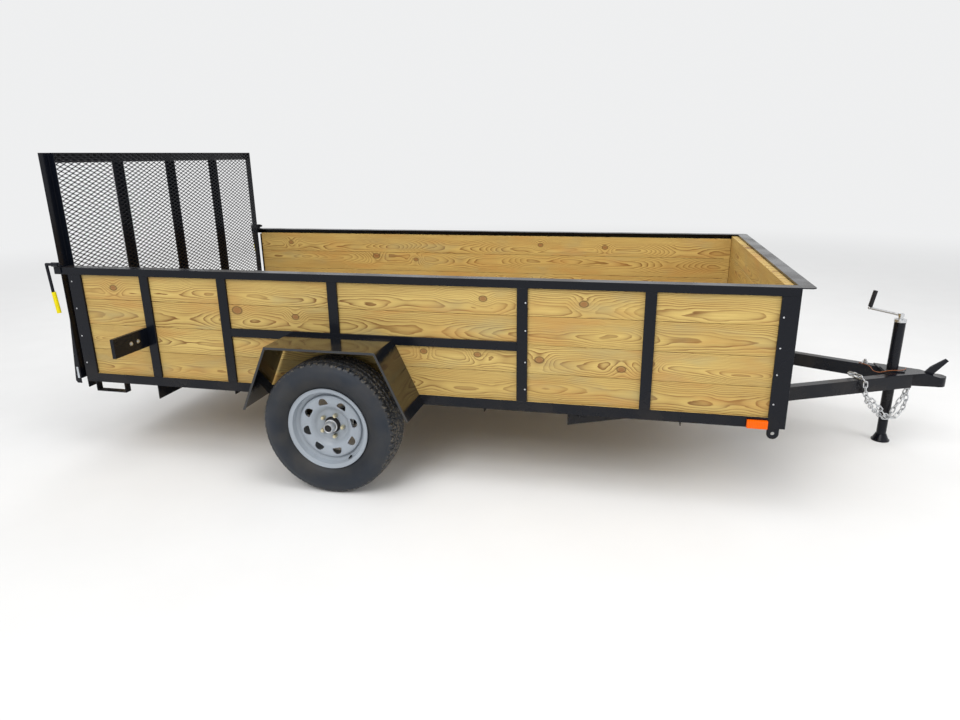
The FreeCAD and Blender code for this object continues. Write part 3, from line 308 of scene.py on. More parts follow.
def pine(name, along, across, depth, start, pitch, knots=()):
    """Flat-sawn pine: arched grain, fibres, knots, and a different cut on each board.

    along, across and depth are the axes of a board's length, width and thickness.
    start and pitch say where the boards' widths begin and repeat."""
    s = Shade(name)
    axes = s.split(s.place)
    run, wide, deep = axes[along], axes[across], axes[depth]
    index = s.math("FLOOR", s.math("DIVIDE", s.math("SUBTRACT", wide, start), pitch))
    side = s.math("SIGN", deep)
    key = s.math("ADD", s.math("MULTIPLY", index, 3.17), s.math("MULTIPLY", side, 1.3))
    white = s.add("ShaderNodeTexWhiteNoise", {"W": key}, noise_dimensions="1D")
    luck = s.split(white.outputs["Color"])
    middle = s.math("ADD", s.math("MULTIPLY", s.math("ADD", index, 0.5), pitch), start)
    off = s.math("SUBTRACT", wide, middle)
    travel = s.math("ADD", run, s.math("MULTIPLY", luck[0], 31.0))
    slow = s.noise(0.95, 2.0, s.vector(travel, key, 0.0))
    sway = s.noise(1.9, 3.0, s.vector(travel, key, 7.0))
    heart = s.math("ADD", s.math("MULTIPLY", s.math("SUBTRACT", luck[1], 0.5), 0.08),
                   s.math("MULTIPLY", s.math("SUBTRACT", sway, 0.5), 0.09))
    aside = s.math("SUBTRACT", off, heart)
    below = s.math("MULTIPLY", s.math("ADD", slow, -0.28), 0.24)
    rings = s.math("SQRT", s.math("ADD", s.math("MULTIPLY", aside, aside),
                                  s.math("MULTIPLY", below, below)))
    spots = 0.0
    rims = 0.0
    for position, offset, size in knots:
        dx = s.math("MULTIPLY", s.math("SUBTRACT", run, position), 0.72)
        dz = s.math("SUBTRACT", wide, offset)
        away = s.math("SQRT", s.math("ADD", s.math("MULTIPLY", dx, dx),
                                     s.math("MULTIPLY", dz, dz)))
        near = s.between(away, 0.0, size * 4.5, 1.0, 0.0)
        rings = s.math("ADD", rings, s.math("MULTIPLY", near, 0.02))
        spots = s.math("MAXIMUM", spots, s.between(away, size * 0.6, size * 1.05, 1.0, 0.0))
        rim = s.math("MULTIPLY", s.between(away, size * 0.7, size),
                     s.between(away, size, size * 1.35, 1.0, 0.0))
        rims = s.math("MAXIMUM", rims, rim)
    fibres = s.noise(1.0, 5.0, s.vector(s.math("MULTIPLY", travel, 3.5),
                                        s.math("MULTIPLY", wide, 420.0),
                                        s.math("MULTIPLY", deep, 420.0)), 0.62)
    ragged = s.noise(1.0, 3.0, s.vector(s.math("MULTIPLY", travel, 2.2),
                                        s.math("MULTIPLY", wide, 60.0),
                                        s.math("MULTIPLY", deep, 60.0)))
    curl = s.noise(1.0, 2.0, s.vector(s.math("MULTIPLY", travel, 5.5),
                                      s.math("MULTIPLY", wide, 17.0), key))
    count = s.math("ADD", s.math("DIVIDE", rings, YEAR_RING), s.math("MULTIPLY", ragged, 0.7))
    count = s.math("ADD", count, s.math("MULTIPLY", curl, 1.3))
    phase = s.math("FRACT", count)
    late = s.math("ADD", s.between(phase, 0.05, 0.75, 0.0, 0.34),
                  s.between(phase, 0.58, 0.93, 0.0, 0.66))
    late = s.math("MULTIPLY", late, s.between(phase, 0.94, 1.0, 1.0, 0.0))
    strong = s.noise(2.6, 3.0, s.vector(travel, s.math("MULTIPLY", wide, 9.0), key))
    late = s.math("MULTIPLY", late, s.between(strong, 0.3, 0.66, 0.45, 1.0))
    early = s.mix(luck[2], PALE_WOOD, DEEP_WOOD)
    tone = s.mix(late, early, LATE_WOOD)
    tone = s.mix(s.between(fibres, 0.42, 0.78, 0.0, 0.5), tone, FIBRE)
    cloud = s.noise(2.2, 4.0, s.vector(travel, s.math("MULTIPLY", wide, 5.0), deep))
    tone = s.mix(s.between(cloud, 0.4, 0.75, 0.0, 0.42), tone, STAIN)
    grey = s.noise(3.4, 4.0, s.vector(travel, s.math("MULTIPLY", wide, 3.0), key))
    tone = s.mix(s.between(grey, 0.52, 0.76, 0.0, 0.4), tone, GREYED)
    red = s.noise(2.7, 3.0, s.vector(travel, s.math("MULTIPLY", wide, 4.0),
                                     s.math("ADD", key, 5.0)))
    tone = s.mix(s.between(red, 0.5, 0.72, 0.0, 0.5), tone, REDDISH)
    tone = s.mix(s.math("MULTIPLY", spots, 0.8), tone, KNOT)
    tone = s.mix(s.math("MULTIPLY", rims, 0.8), tone, KNOT_RIM)
    s.surface(Base_Color=tone, Roughness=s.between(fibres, 0.3, 0.7, 0.5, 0.72))
    s.shader.inputs["Specular IOR Level"].default_value = 0.3
    s.bump(s.math("ADD", fibres, s.math("MULTIPLY", late, 0.5)), 0.0008, 0.45)
    return s.material


# Knots on the side boards: along the bed, height, radius.
SIDE_KNOTS = [
    (BED + 0.262, 0.955, 0.014), (BED + 0.985, 0.86, 0.019), (BED + 1.31, 0.838, 0.013),
    (BED + 2.28, 0.965, 0.013), (BED + 1.98, 0.693, 0.012), (BED + 2.25, 0.69, 0.012),
    (BED + 2.75, 0.955, 0.014), (BED + 2.55, 0.68, 0.015), (BED + 2.93, 0.655, 0.014),
    (BED + 3.06, 0.69, 0.012),
]
black = paint("black_paint", rgb(0.0036, 0.0047, 0.0082), rough=0.23, coat=0.05,
              dust=0.24, gloss=0.2)
fender_black = paint("fender_paint", rgb(0.004, 0.0047, 0.0066), rough=0.09, coat=0.5,
                     dust=0.36, gloss=0.5)
silver = paint("wheel_paint", rgb(0.30, 0.335, 0.375), rough=0.36, coat=0.15,
               dust=0.15, gloss=0.4)
label = plastic("reflective_strip", rgb(0.5, 0.53, 0.56), rough=0.3)
copper = plastic("wire_sheath", rgb(0.26, 0.09, 0.035), rough=0.4)
plate = zinc("zinc", rgb(0.66, 0.67, 0.68), rough=0.28)
yellow_zinc = zinc("yellow_zinc", rgb(0.66, 0.6, 0.42), rough=0.28)
side_pine = pine("side_pine", along=0, across=2, depth=1, start=FRAME_TOP, pitch=BOARD,
                 knots=SIDE_KNOTS)
front_pine = pine("front_pine", along=1, across=2, depth=0, start=FRAME_TOP + FRONT_RISE,
                  pitch=BOARD)
floor_pine = pine("floor_pine", along=0, across=1, depth=2, start=-PLANKS_HALF, pitch=PLANK)
tyre_rubber = rubber("tyre_rubber")
yellow = plastic("yellow_vinyl", rgb(0.76, 0.63, 0.001), rough=0.5)
dark = plastic("dark_plastic", rgb(0.012, 0.012, 0.013), rough=0.4)
red = lens("red_lens", rgb(0.42, 0.012, 0.01), along=1)
amber = lens("amber_lens", rgb(0.95, 0.14, 0.001), along=0)
BY_SLOT = {
    "black_paint": black, "fender_paint": fender_black, "pine": side_pine, "zinc": plate,
    "yellow_vinyl": yellow, "red_lens": red, "amber_lens": amber, "dark_plastic": dark,
}
BY_NODE = {"front_boards": front_pine, "floor_planks": floor_pine}


def linked(name, data):
    """A new object in the scene."""
    thing = bpy.data.objects.new(name, data)
    bpy.context.scene.collection.objects.link(thing)
    return thing


def rounded(piece, width, segments, sharp):
    """Rounds the edges of a piece that turn by more than an angle in degrees."""
    bevel = piece.modifiers.new("edges", "BEVEL")
    bevel.width = width
    bevel.segments = segments
    bevel.limit_method = "ANGLE"
    bevel.angle_limit = math.radians(sharp)
    return bevel


def piece_from(name, verts, faces, body, material, slot, sharp=35.0):
    """A new mesh piece that rides on a body, with a crease where it turns sharply."""
    mesh = bpy.data.meshes.new(name)
    mesh.from_pydata([tuple(v) for v in verts], [], faces)
    mesh.validate()
    mesh.update()
    mesh.shade_smooth()
    mesh.set_sharp_from_angle(angle=math.radians(sharp))
    mesh.materials.append(material)
    piece = linked(name, mesh)
    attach(piece, body)
    return piece


def fine_copy(name, width, segments=2):
    """A copy of a CAD node with its sharp edges rounded, shown in the node's place."""
    bm = bmesh.new()
    bm.from_mesh(nodes[name].data)
    bmesh.ops.remove_doubles(bm, verts=bm.verts, dist=SAME_POINT)
    bmesh.ops.dissolve_limit(bm, angle_limit=math.radians(SAME_PLANE), verts=bm.verts,
                             edges=bm.edges)
    verts = [v.co.copy() for v in bm.verts]
    faces = [[v.index for v in f.verts] for f in bm.faces]
    bm.free()
    slot = slots[name]
    material = BY_NODE.get(name) or BY_SLOT[slot]
    piece = piece_from(name + "_fine", verts, faces, body_of[name], material, slot)
    rounded(piece, width, segments, sharp=40).harden_normals = True
    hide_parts(name)


def lathe(profile, count, centre, out, wave=None):
    """Vertices and faces of a closed profile of (radius, y) turned about the Y axis.

    The faces look out of the solid, whichever way round its profile is written."""
    turning = sum(r * after - next_r * y for (r, y), (next_r, after)
                  in zip(profile, profile[1:] + profile[:1]))
    flipped = (turning > 0) == (out > 0)
    verts = []
    for i in range(count):
        turn = 2 * math.pi * i / count
        for radius, y in profile:
            r = radius + (wave(turn, radius, y) if wave else 0.0)
            verts.append(Vector((centre[0] + r * math.sin(turn), centre[1] + out * y,
                                 centre[2] + r * math.cos(turn))))
    size = len(profile)
    faces = []
    for i in range(count):
        a = i * size
        b = (i + 1) % count * size
        for j in range(size):
            k = (j + 1) % size
            quad = [a + j, a + k, b + k, b + j]
            faces.append(quad[::-1] if flipped else quad)
    return verts, faces


def merged(parts):
    """One list of vertices and one of faces from several."""
    verts = []
    faces = []
    for more_verts, more_faces in parts:
        base = len(verts)
        verts += more_verts
        faces += [[base + i for i in f] for f in more_faces]
    return verts, faces


def arc(first, through, last, count):
    """Points on the circle through three (radius, y) points, without the first."""
    (ax, ay), (bx, by), (cx, cy) = first, through, last
    d = 2 * (ax * (by - cy) + bx * (cy - ay) + cx * (ay - by))
    ux = ((ax * ax + ay * ay) * (by - cy) + (bx * bx + by * by) * (cy - ay)
          + (cx * cx + cy * cy) * (ay - by)) / d
    uy = ((ax * ax + ay * ay) * (cx - bx) + (bx * bx + by * by) * (ax - cx)
          + (cx * cx + cy * cy) * (bx - ax)) / d
    radius = math.hypot(ax - ux, ay - uy)
    angles = [math.atan2(y - uy, x - ux) for x, y in (first, through, last)]
    for i in (1, 2):
        while angles[i] - angles[i - 1] > math.pi:
            angles[i] -= 2 * math.pi
        while angles[i] - angles[i - 1] < -math.pi:
            angles[i] += 2 * math.pi
    spread = angles[2] - angles[0]
    return [(ux + radius * math.cos(angles[0] + spread * i / count),
             uy + radius * math.sin(angles[0] + spread * i / count))
            for i in range(1, count + 1)]


# The tread: its pitches, grooves round it, their half width, depth and sway.
PITCHES = 64
GROOVES = [-0.052, -0.018, 0.018, 0.052]
GROOVE_HALF = 0.0042
GROOVE_DEPTH = 0.0075
GROOVE_SWAY = 0.0035
# Slots across its shoulders: how far out, their slant, their share of a pitch, and of
# the grooves' depth. Then the same for the narrow slots across its middle.
SHOULDER = 0.058
SHOULDER_SLANT = 3.0
SHOULDER_SLOT = 0.16
SHOULDER_DEPTH = 0.85
MIDDLE = 0.05
MIDDLE_SLANT = 14.0
MIDDLE_SLOT = (0.46, 0.58)
MIDDLE_DEPTH = 0.4
# The tyre: steps round it, points across its crown, where the crown starts, its largest
# radius, the crown's half width and how much lower it is there.
TYRE_STEPS = 448
TREAD_STEPS = 58
TREAD_EDGE = 0.328
TYRE_RADIUS = 0.340
CROWN_HALF = 0.0695
CROWN_DROP = 0.0035


def tread(turn, radius, y):
    """How far the tread's surface lies under its full radius."""
    if radius < TREAD_EDGE:
        return 0.0
    step = turn * PITCHES / (2 * math.pi)
    zigzag = GROOVE_SWAY * (abs((step % 1.0) - 0.5) * 4 - 1)
    for groove in GROOVES:
        if abs(y - groove - zigzag) < GROOVE_HALF:
            return -GROOVE_DEPTH
    lug = (step + (0.5 if y > 0 else 0.0) + abs(y) * SHOULDER_SLANT) % 1.0
    if abs(y) > SHOULDER and lug < SHOULDER_SLOT:
        return -GROOVE_DEPTH * SHOULDER_DEPTH
    first, last = MIDDLE_SLOT
    if abs(y) < MIDDLE and first < (step + y * MIDDLE_SLANT) % 1.0 < last:
        return -GROOVE_DEPTH * MIDDLE_DEPTH
    return 0.0


def tyre_profile():
    """The tyre's outline, from the outer bead over the tread to the inner one."""
    points = [(0.1907, 0.074), (0.208, 0.074)]
    points += arc((0.208, 0.074), (0.26125, 0.1025), (0.320, 0.0905), 12)
    # The rim guard next to the flange.
    for radius, rise in ((0.2185, 0.001), (0.222, 0.0011)):
        for i, point in enumerate(points):
            if abs(point[0] - radius) < 0.002:
                points[i] = (point[0], point[1] + rise)
    points += arc((0.320, 0.0905), (0.334, 0.0825), (0.3365, CROWN_HALF), 4)
    for i in range(1, TREAD_STEPS):
        y = CROWN_HALF - 2 * CROWN_HALF * i / TREAD_STEPS
        points.append((TYRE_RADIUS - CROWN_DROP * (y / CROWN_HALF) ** 2, y))
    # The side wall and shoulder again, on the other side.
    mirrored = [(r, -y) for r, y in points if y > 0.069]
    points += mirrored[::-1]
    inner = [(0.1907, -0.060), (0.250, -0.0905), (0.314, -0.0765), (0.326, 0.0),
             (0.314, 0.0765), (0.250, 0.0905), (0.1907, 0.060)]
    return points + inner


def tyre(side, out):
    """A tyre with its tread cut into the crown."""
    centre = (BED + AXLE_X, out * TRACK_HALF, AXLE_Z)
    verts, faces = lathe(tyre_profile(), TYRE_STEPS, centre, out, tread)
    piece = piece_from("tyre_" + side + "_tread", verts, faces, "wheel_" + side, tyre_rubber,
                       "tyre_rubber", sharp=30.0)
    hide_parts("tyre_" + side)


def drilled(piece, cutters):
    """Cuts closed meshes out of a piece and keeps the result."""
    mesh = bpy.data.meshes.new("cutter")
    verts, faces = merged(cutters)
    mesh.from_pydata([tuple(v) for v in verts], [], faces)
    cutter = linked("cutter", mesh)
    cut = piece.modifiers.new("holes", "BOOLEAN")
    cut.object = cutter
    cut.solver = "EXACT"
    graph = bpy.context.evaluated_depsgraph_get()
    result = bpy.data.meshes.new_from_object(piece.evaluated_get(graph))
    piece.modifiers.remove(cut)
    result.shade_smooth()
    result.set_sharp_from_angle(angle=math.radians(35))
    piece.data = result
    bpy.data.objects.remove(cutter)


def bar(outline, frame_at, low, high):
    """A closed prism: outline points (a, b) placed by frame_at(a, b, depth)."""
    size = len(outline)
    verts = [frame_at(a, b, low) for a, b in outline]
    verts += [frame_at(a, b, high) for a, b in outline]
    faces = [list(range(size))[::-1], list(range(size, 2 * size))]
    for i in range(size):
        j = (i + 1) % size
        faces.append([i, j, size + j, size + i])
    return verts, faces


def shell(rings, points):
    """Faces of a stack of rings of points, closed at the last one."""
    faces = []
    for level in range(rings - 1):
        a = level * points
        for k in range(points):
            m = (k + 1) % points
            faces.append([a + k, a + m, a + points + m, a + points + k])
    last = (rings - 1) * points
    faces.append([last + k for k in range(points)])
    return faces


# The wheel's closed outlines: radius from the axle, distance outwards.
BARREL = [
    (0.2075, 0.082), (0.2075, 0.0765), (0.2045, 0.0748), (0.1930, 0.0742),
    (0.1905, 0.0725), (0.1905, 0.052), (0.1870, 0.046), (0.1705, 0.038),
    (0.1705, -0.032), (0.1890, -0.050), (0.1905, -0.054), (0.1905, -0.0725),
    (0.1930, -0.0742), (0.2045, -0.0748), (0.2075, -0.0765), (0.2075, -0.082),
    (0.2055, -0.0822), (0.1855, -0.079), (0.1855, -0.050), (0.1655, -0.030),
    (0.1655, 0.036), (0.1825, 0.044), (0.1858, 0.050), (0.1858, 0.0705),
    (0.1875, 0.0762), (0.2035, 0.0792), (0.2060, 0.0822),
]
DISC = [
    (0.0420, 0.0150), (0.0760, 0.0150), (0.0830, 0.0165), (0.0905, 0.0235),
    (0.1040, 0.0375), (0.1120, 0.0415), (0.1300, 0.0455), (0.1480, 0.0465),
    (0.1560, 0.0440), (0.1585, 0.0380), (0.1592, 0.0300), (0.1675, 0.0290),
    (0.1675, 0.0325), (0.1628, 0.0335), (0.1622, 0.0400), (0.1606, 0.0470),
    (0.1565, 0.0502), (0.1490, 0.0518), (0.1300, 0.0508), (0.1110, 0.0468),
    (0.1015, 0.0425), (0.0880, 0.0285), (0.0820, 0.0218), (0.0750, 0.0200),
    (0.0420, 0.0200),
]
HUB_CORE = [
    (0.0, -0.062), (0.038, -0.062), (0.038, -0.020), (0.040, -0.006),
    (0.070, -0.004), (0.072, -0.002), (0.072, 0.013), (0.070, 0.0148),
    (0.0412, 0.0148), (0.041, 0.024), (0.0385, 0.030), (0.0335, 0.0345),
    (0.0335, 0.038), (0.0, 0.038),
]
HUB_CAP = [
    (0.0, 0.0365), (0.0330, 0.0365), (0.0330, 0.0405), (0.0295, 0.0415),
    (0.0290, 0.062), (0.0275, 0.0665), (0.0240, 0.0700), (0.0225, 0.0750),
    (0.0205, 0.0760), (0.0185, 0.0745), (0.0175, 0.0715), (0.0, 0.0710),
]
HUB_PLUG = [
    (0.0, 0.0710), (0.0172, 0.0710), (0.0172, 0.0738), (0.0150, 0.0752),
    (0.0060, 0.0757), (0.0, 0.0757),
]
VALVE_STEM = [
    (0.0, 0.0), (0.0048, 0.0), (0.0052, 0.010), (0.0040, 0.016),
    (0.0036, 0.028), (0.0030, 0.030), (0.0, 0.030),
]
# A window's outline, seen from outside: across, distance from the axle.
WINDOW = [
    (-0.0245, 0.1215), (-0.0245, 0.1175), (-0.0205, 0.1140), (0.0205, 0.1140),
    (0.0245, 0.1175), (0.0245, 0.1215), (0.0215, 0.1330), (0.0150, 0.1425),
    (0.0060, 0.1470), (-0.0060, 0.1470), (-0.0150, 0.1425), (-0.0215, 0.1330),
]
# Windows and bolts, and how far they are turned from straight up, in their pitch.
WINDOWS = 8
WINDOW_TURN = -0.29
BOLTS_ROUND = 5
BOLT_TURN = 0.32
BOLT_CIRCLE = 0.05715
BOLT_HOLE = 0.0085
# Between which distances outwards a window and a bolt's hole are cut.
WINDOW_CUT = (0.02, 0.07)
HOLE_CUT = (0.0, 0.03)
HOLE_POINTS = 16
RIM_STEPS = 144
HUB_STEPS = 72
PLUG_STEPS = 48
VALVE_STEPS = 20
# The valve: its turn in radians, distance from the axle and outwards.
VALVE = (2.55, 0.178, 0.046)
# How much further each lug nut is turned than the last, in radians.
NUT_TURN = 0.3
# Rings of a lug nut: distance outwards, radius, and whether it is a hexagon.
NUT_POINTS = 18
NUT_RINGS = [
    (0.0195, 0.0088, False), (0.0245, 0.0108, False), (0.0260, 0.0110, True),
    (0.0385, 0.0110, True), (0.0410, 0.0092, True), (0.0410, 0.0062, False),
    (0.0455, 0.0062, False), (0.0462, 0.0052, False),
]


def hexagon_reach(t):
    """How far a hexagon reaches from its middle in a direction, with its corners at 1."""
    return math.cos(math.pi / 6) / math.cos(t % (math.pi / 3) - math.pi / 6)


def placed(centre, out, turn):
    """Where a point (across, from the axle, outwards) lies on a wheel that is turned."""
    def put(a, b, depth):
        r = math.hypot(a, b)
        angle = math.atan2(a, b) + turn
        return Vector((centre[0] + r * math.sin(angle), centre[1] + out * depth,
                       centre[2] + r * math.cos(angle)))
    return put


def rim(side, out, centre):
    """The wheel's barrel, and its disc with D-shaped windows."""
    body = "wheel_" + side
    barrel = piece_from("rim_" + side + "_barrel", *lathe(BARREL, RIM_STEPS, centre, out),
                        body, silver, "wheel_paint")
    face = piece_from("rim_" + side + "_disc", *lathe(DISC, RIM_STEPS, centre, out),
                      body, silver, "wheel_paint")
    cutters = []
    for i in range(WINDOWS):
        turn = 2 * math.pi * (i + WINDOW_TURN) / WINDOWS
        cutters.append(bar(WINDOW, placed(centre, out, turn), *WINDOW_CUT))
    round_hole = [(BOLT_HOLE * math.cos(t), BOLT_CIRCLE + BOLT_HOLE * math.sin(t))
                  for t in [2 * math.pi * k / HOLE_POINTS for k in range(HOLE_POINTS)]]
    for i in range(BOLTS_ROUND):
        turn = 2 * math.pi * (i + BOLT_TURN) / BOLTS_ROUND
        cutters.append(bar(round_hole, placed(centre, out, turn), *HOLE_CUT))
    drilled(face, cutters)
    rounded(face, STEEL_EDGE, segments=2, sharp=50)
    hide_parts("rim_" + side)
    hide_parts("rim_" + side)


def hub(side, out, centre):
    """The hub with its bright cap and the dark plug in it."""
    body = "wheel_" + side
    core = piece_from("hub_" + side + "_core", *lathe(HUB_CORE, HUB_STEPS, centre, out),
                      body, black, "zinc")
    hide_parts("hub_" + side)
    piece_from("hub_" + side + "_cap", *lathe(HUB_CAP, HUB_STEPS, centre, out),
               body, plate, "zinc")
    piece_from("hub_" + side + "_plug", *lathe(HUB_PLUG, PLUG_STEPS, centre, out),
               body, dark, "zinc")


def lug_nuts(side, out, centre):
    """The nuts on the bolt circle, each turned a little further than the last."""
    nuts = []
    for i in range(BOLTS_ROUND):
        put = placed(centre, out, 2 * math.pi * (i + BOLT_TURN) / BOLTS_ROUND)
        spin = NUT_TURN * i
        verts = []
        for depth, size, hexagon in NUT_RINGS:
            for k in range(NUT_POINTS):
                t = 2 * math.pi * k / NUT_POINTS
                reach = size * hexagon_reach(t) if hexagon else size
                verts.append(put(reach * math.cos(t + spin),
                                 BOLT_CIRCLE + reach * math.sin(t + spin), depth))
        faces = shell(len(NUT_RINGS), NUT_POINTS) + [list(range(NUT_POINTS))[::-1]]
        nuts.append((verts, [f[::-1] for f in faces] if out > 0 else faces))
    piece_from("lug_nuts_" + side, *merged(nuts), "wheel_" + side, yellow_zinc, "zinc",
               sharp=25.0)


def wheel(side, out):
    """The steel wheel with its hub, lug nuts and valve."""
    centre = (BED + AXLE_X, out * TRACK_HALF, AXLE_Z)
    rim(side, out, centre)
    hub(side, out, centre)
    lug_nuts(side, out, centre)
    turn, away, depth = VALVE
    foot = placed(centre, out, turn)(0.0, away, depth)
    piece_from("valve_" + side, *lathe(VALVE_STEM, VALVE_STEPS, foot, out), "wheel_" + side,
               dark, "tyre_rubber")


# The expanded metal: width and height of a diamond, height of a strand and how far its
# front and rear are twisted apart, and half the length of a bond.
DIAMOND = (0.0508, 0.0234)
STRAND = 0.0043
STRAND_TWIST = 0.0005
BOND_HALF = 0.0045


def expanded_mesh():
    """The gate's expanded metal: zigzag strands that meet at their bonds."""
    low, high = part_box("gate_mesh")
    wide, tall = DIAMOND
    x0, x1 = low.x, high.x
    verts = []
    faces = []
    rows = int((high.z - low.z) / (tall / 2))
    columns = int((high.y - low.y) / (wide / 2)) + 1
    start = low.z + ((high.z - low.z) - rows * tall / 2) / 2
    for s in range(rows):
        base = start + (s + 0.5) * tall / 2
        line = []
        for k in range(columns + 1):
            sign = 1 if (s + k) % 2 == 0 else -1
            y = low.y + k * wide / 2
            z = base + sign * (tall / 4 - STRAND / 2)
            line.append((max(low.y, y - BOND_HALF), z, sign))
            line.append((min(high.y, y + BOND_HALF), z, sign))
        first = len(verts)
        for y, z, sign in line:
            y = min(max(y, low.y), high.y)
            twist = STRAND_TWIST * sign
            for dx, dz in ((x0, -1), (x1, -1), (x1, 1), (x0, 1)):
                shift = twist if dx == x1 else -twist
                verts.append(Vector((dx, y, z + dz * STRAND / 2 + shift)))
        for i in range(len(line) - 1):
            a = first + 4 * i
            b = a + 4
            for j in range(4):
                k = (j + 1) % 4
                faces.append([a + j, b + j, b + k, a + k])
        last = first + 4 * (len(line) - 1)
        faces.append([first, first + 1, first + 2, first + 3])
        faces.append([last, last + 3, last + 2, last + 1])
    piece = piece_from("gate_mesh_strands", verts, faces, "gate", black, "black_paint")
    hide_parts("gate_mesh")


# A screw head's rings: share of its radius, share of its height.
DOME = ((1.0, 0.0), (1.0, 0.35), (0.8, 0.8), (0.42, 1.0))


def heads(name, spots, radius, rise, material, sides=16):
    """Domed screw heads: each spot is a point and the direction that it faces."""
    parts = []
    for point, facing in spots:
        turn = Vector((0, 0, 1)).rotation_difference(Vector(facing)).to_matrix()
        verts = []
        for share, height in DOME:
            for k in range(sides):
                t = 2 * math.pi * k / sides
                flat = Vector((radius * share * math.cos(t), radius * share * math.sin(t),
                               rise * height))
                verts.append(Vector(point) + turn @ flat)
        parts.append((verts, shell(len(DOME), sides)))
    piece_from(name, *merged(parts), "chassis", material, "zinc", sharp=50.0)


# Radius and rise of the screw heads in the posts and in the floor.
POST_HEAD = (0.004, 0.0018)
FLOOR_HEAD = (0.0042, 0.0012)
# Screws of a post: distance ahead of the rear, and how high each is on its own board.
POST_SCREWS = [
    (0.019, (0.42, 0.52, 0.62, 0.68)),
    (2.484, (0.44, 0.41, 0.51, 0.46)),
    (3.597, (0.46, 0.44, 0.31, 0.29)),
]
# Screws of the front posts: where each column is, and how high on each board.
FRONT_COLUMNS = (-0.99, -0.3387, 0.3387, 0.99)
FRONT_SHARES = (0.45, 0.42, 0.5, 0.4)
# Rows of screws in the floor, over the cross members, their distance from a plank's
# middle, how far out they go, and how uneven they are along and across.
FLOOR_SCREWS = (0.03, 0.465, 0.93, 1.39, 1.86, 2.33, 2.79, 3.245, 3.63)
PLANK_SCREW = 0.042
SCREWED_HALF = 0.95
UNEVEN = (0.006, 0.005)


def post_screws():
    """Screws through the posts into each board, on both sides and at the front."""
    spots = []
    for out in (-1, 1):
        for x, shares in POST_SCREWS:
            for row, share in enumerate(shares):
                z = FRAME_TOP + (row + share) * BOARD
                spots.append(((BED + x, out * HALF, z), (0, out, 0)))
    for y in FRONT_COLUMNS:
        for row, share in enumerate(FRONT_SHARES):
            z = FRAME_TOP + (row + share) * BOARD
            spots.append(((BED + BED_LENGTH, y, z), (1, 0, 0)))
    heads("post_screws", spots, *POST_HEAD, plate)


def floor_screws():
    """Two screws through each floor plank at every cross member, a little uneven."""
    spots = []
    for x in FLOOR_SCREWS:
        for plank in range(PLANKS):
            for side in (-1, 1):
                y = -PLANKS_HALF + (plank + 0.5) * PLANK + side * PLANK_SCREW
                if abs(y) < SCREWED_HALF:
                    place = (BED + x + random.uniform(-UNEVEN[0], UNEVEN[0]),
                             y + random.uniform(-UNEVEN[1], UNEVEN[1]), FRAME_TOP)
                    spots.append((place, (0, 0, 1)))
    heads("floor_screws", spots, *FLOOR_HEAD, yellow_zinc, sides=10)


# The bolt and nut on the tongue: place ahead of the bed's rear, direction, size and rise.
TONGUE_BOLT = [
    ((4.305, 0.1256, 0.4200), (0, 0, 1), 0.0085, 0.012),
    ((4.305, 0.1256, 0.4315), (0, 0, 1), 0.0075, 0.014),
]
# Nuts behind a tail lamp: distances from the middle, place, height, size and rise.
LAMP_STUDS = (1.091, 1.143)
LAMP_FACE_X = 0.437
LAMP_MIDDLE_Z = 0.6925
LAMP_NUT = (0.0058, 0.008)
# Rings of a washer and of a nut: share of the nut's size, share of its rise.
WASHER = ((1.9, 0.0), (1.95, 0.02), (1.95, 0.14), (1.9, 0.16))
NUT = ((1.0, 0.16), (1.08, 0.2), (1.08, 0.88), (0.92, 1.0))
SCREW_POINTS = 24
# A gusset's pale strip: its middle, half sizes inside the corners, corner radius, and
# its back and front from the gusset's face.
STRIP_BEHIND = 0.064
STRIP_HEIGHT = 0.4625
STRIP_HALF = (0.004, 0.0305)
STRIP_CORNER = 0.002
STRIP_FACES = (-0.0004, 0.0008)


def screw(foot, facing, size, rise):
    """A hexagon nut or bolt head with a washer under it."""
    turn = Vector((0, 0, 1)).rotation_difference(Vector(facing)).to_matrix()
    parts = []
    for rings in (WASHER, NUT):
        verts = []
        for share, height in rings:
            for k in range(SCREW_POINTS):
                t = 2 * math.pi * k / SCREW_POINTS
                reach = size * share * (hexagon_reach(t) if rings is NUT else 1.0)
                flat = Vector((reach * math.cos(t), reach * math.sin(t), rise * height))
                verts.append(Vector(foot) + turn @ flat)
        parts.append((verts, shell(len(rings), SCREW_POINTS)))
    return merged(parts)


def bolts():
    """The bolt on the tongue and the nuts of the tail lamps."""
    rows = list(TONGUE_BOLT)
    for out in (-1, 1):
        for y in LAMP_STUDS:
            rows.append(((LAMP_FACE_X, out * y, LAMP_MIDDLE_Z), (1, 0, 0), *LAMP_NUT))
    parts = [screw((BED + x, y, z), facing, size, rise)
             for (x, y, z), facing, size, rise in rows]
    piece_from("bolts_and_nuts", *merged(parts), "chassis", plate, "zinc", sharp=30.0)


def reflective_strips():
    """A small pale strip on the outside of each gate gusset."""
    outline = []
    for cx, cz, start in ((1, 1, 0), (-1, 1, 90), (-1, -1, 180), (1, -1, 270)):
        for k in range(5):
            t = math.radians(start + 22.5 * k)
            outline.append((cx * STRIP_HALF[0] + STRIP_CORNER * math.cos(t),
                            cz * STRIP_HALF[1] + STRIP_CORNER * math.sin(t)))
    low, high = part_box("gate_gussets")
    parts = []
    for face, out in ((low.y, -1), (high.y, 1)):
        def put(a, b, depth):
            return Vector((BED - STRIP_BEHIND + a, face + out * depth, STRIP_HEIGHT + b))
        verts, faces = bar(outline, put, *STRIP_FACES)
        parts.append((verts, faces if out < 0 else [f[::-1] for f in faces]))
    piece_from("reflective_strips", *merged(parts), "gate", label, "black_paint",
               sharp=40.0)


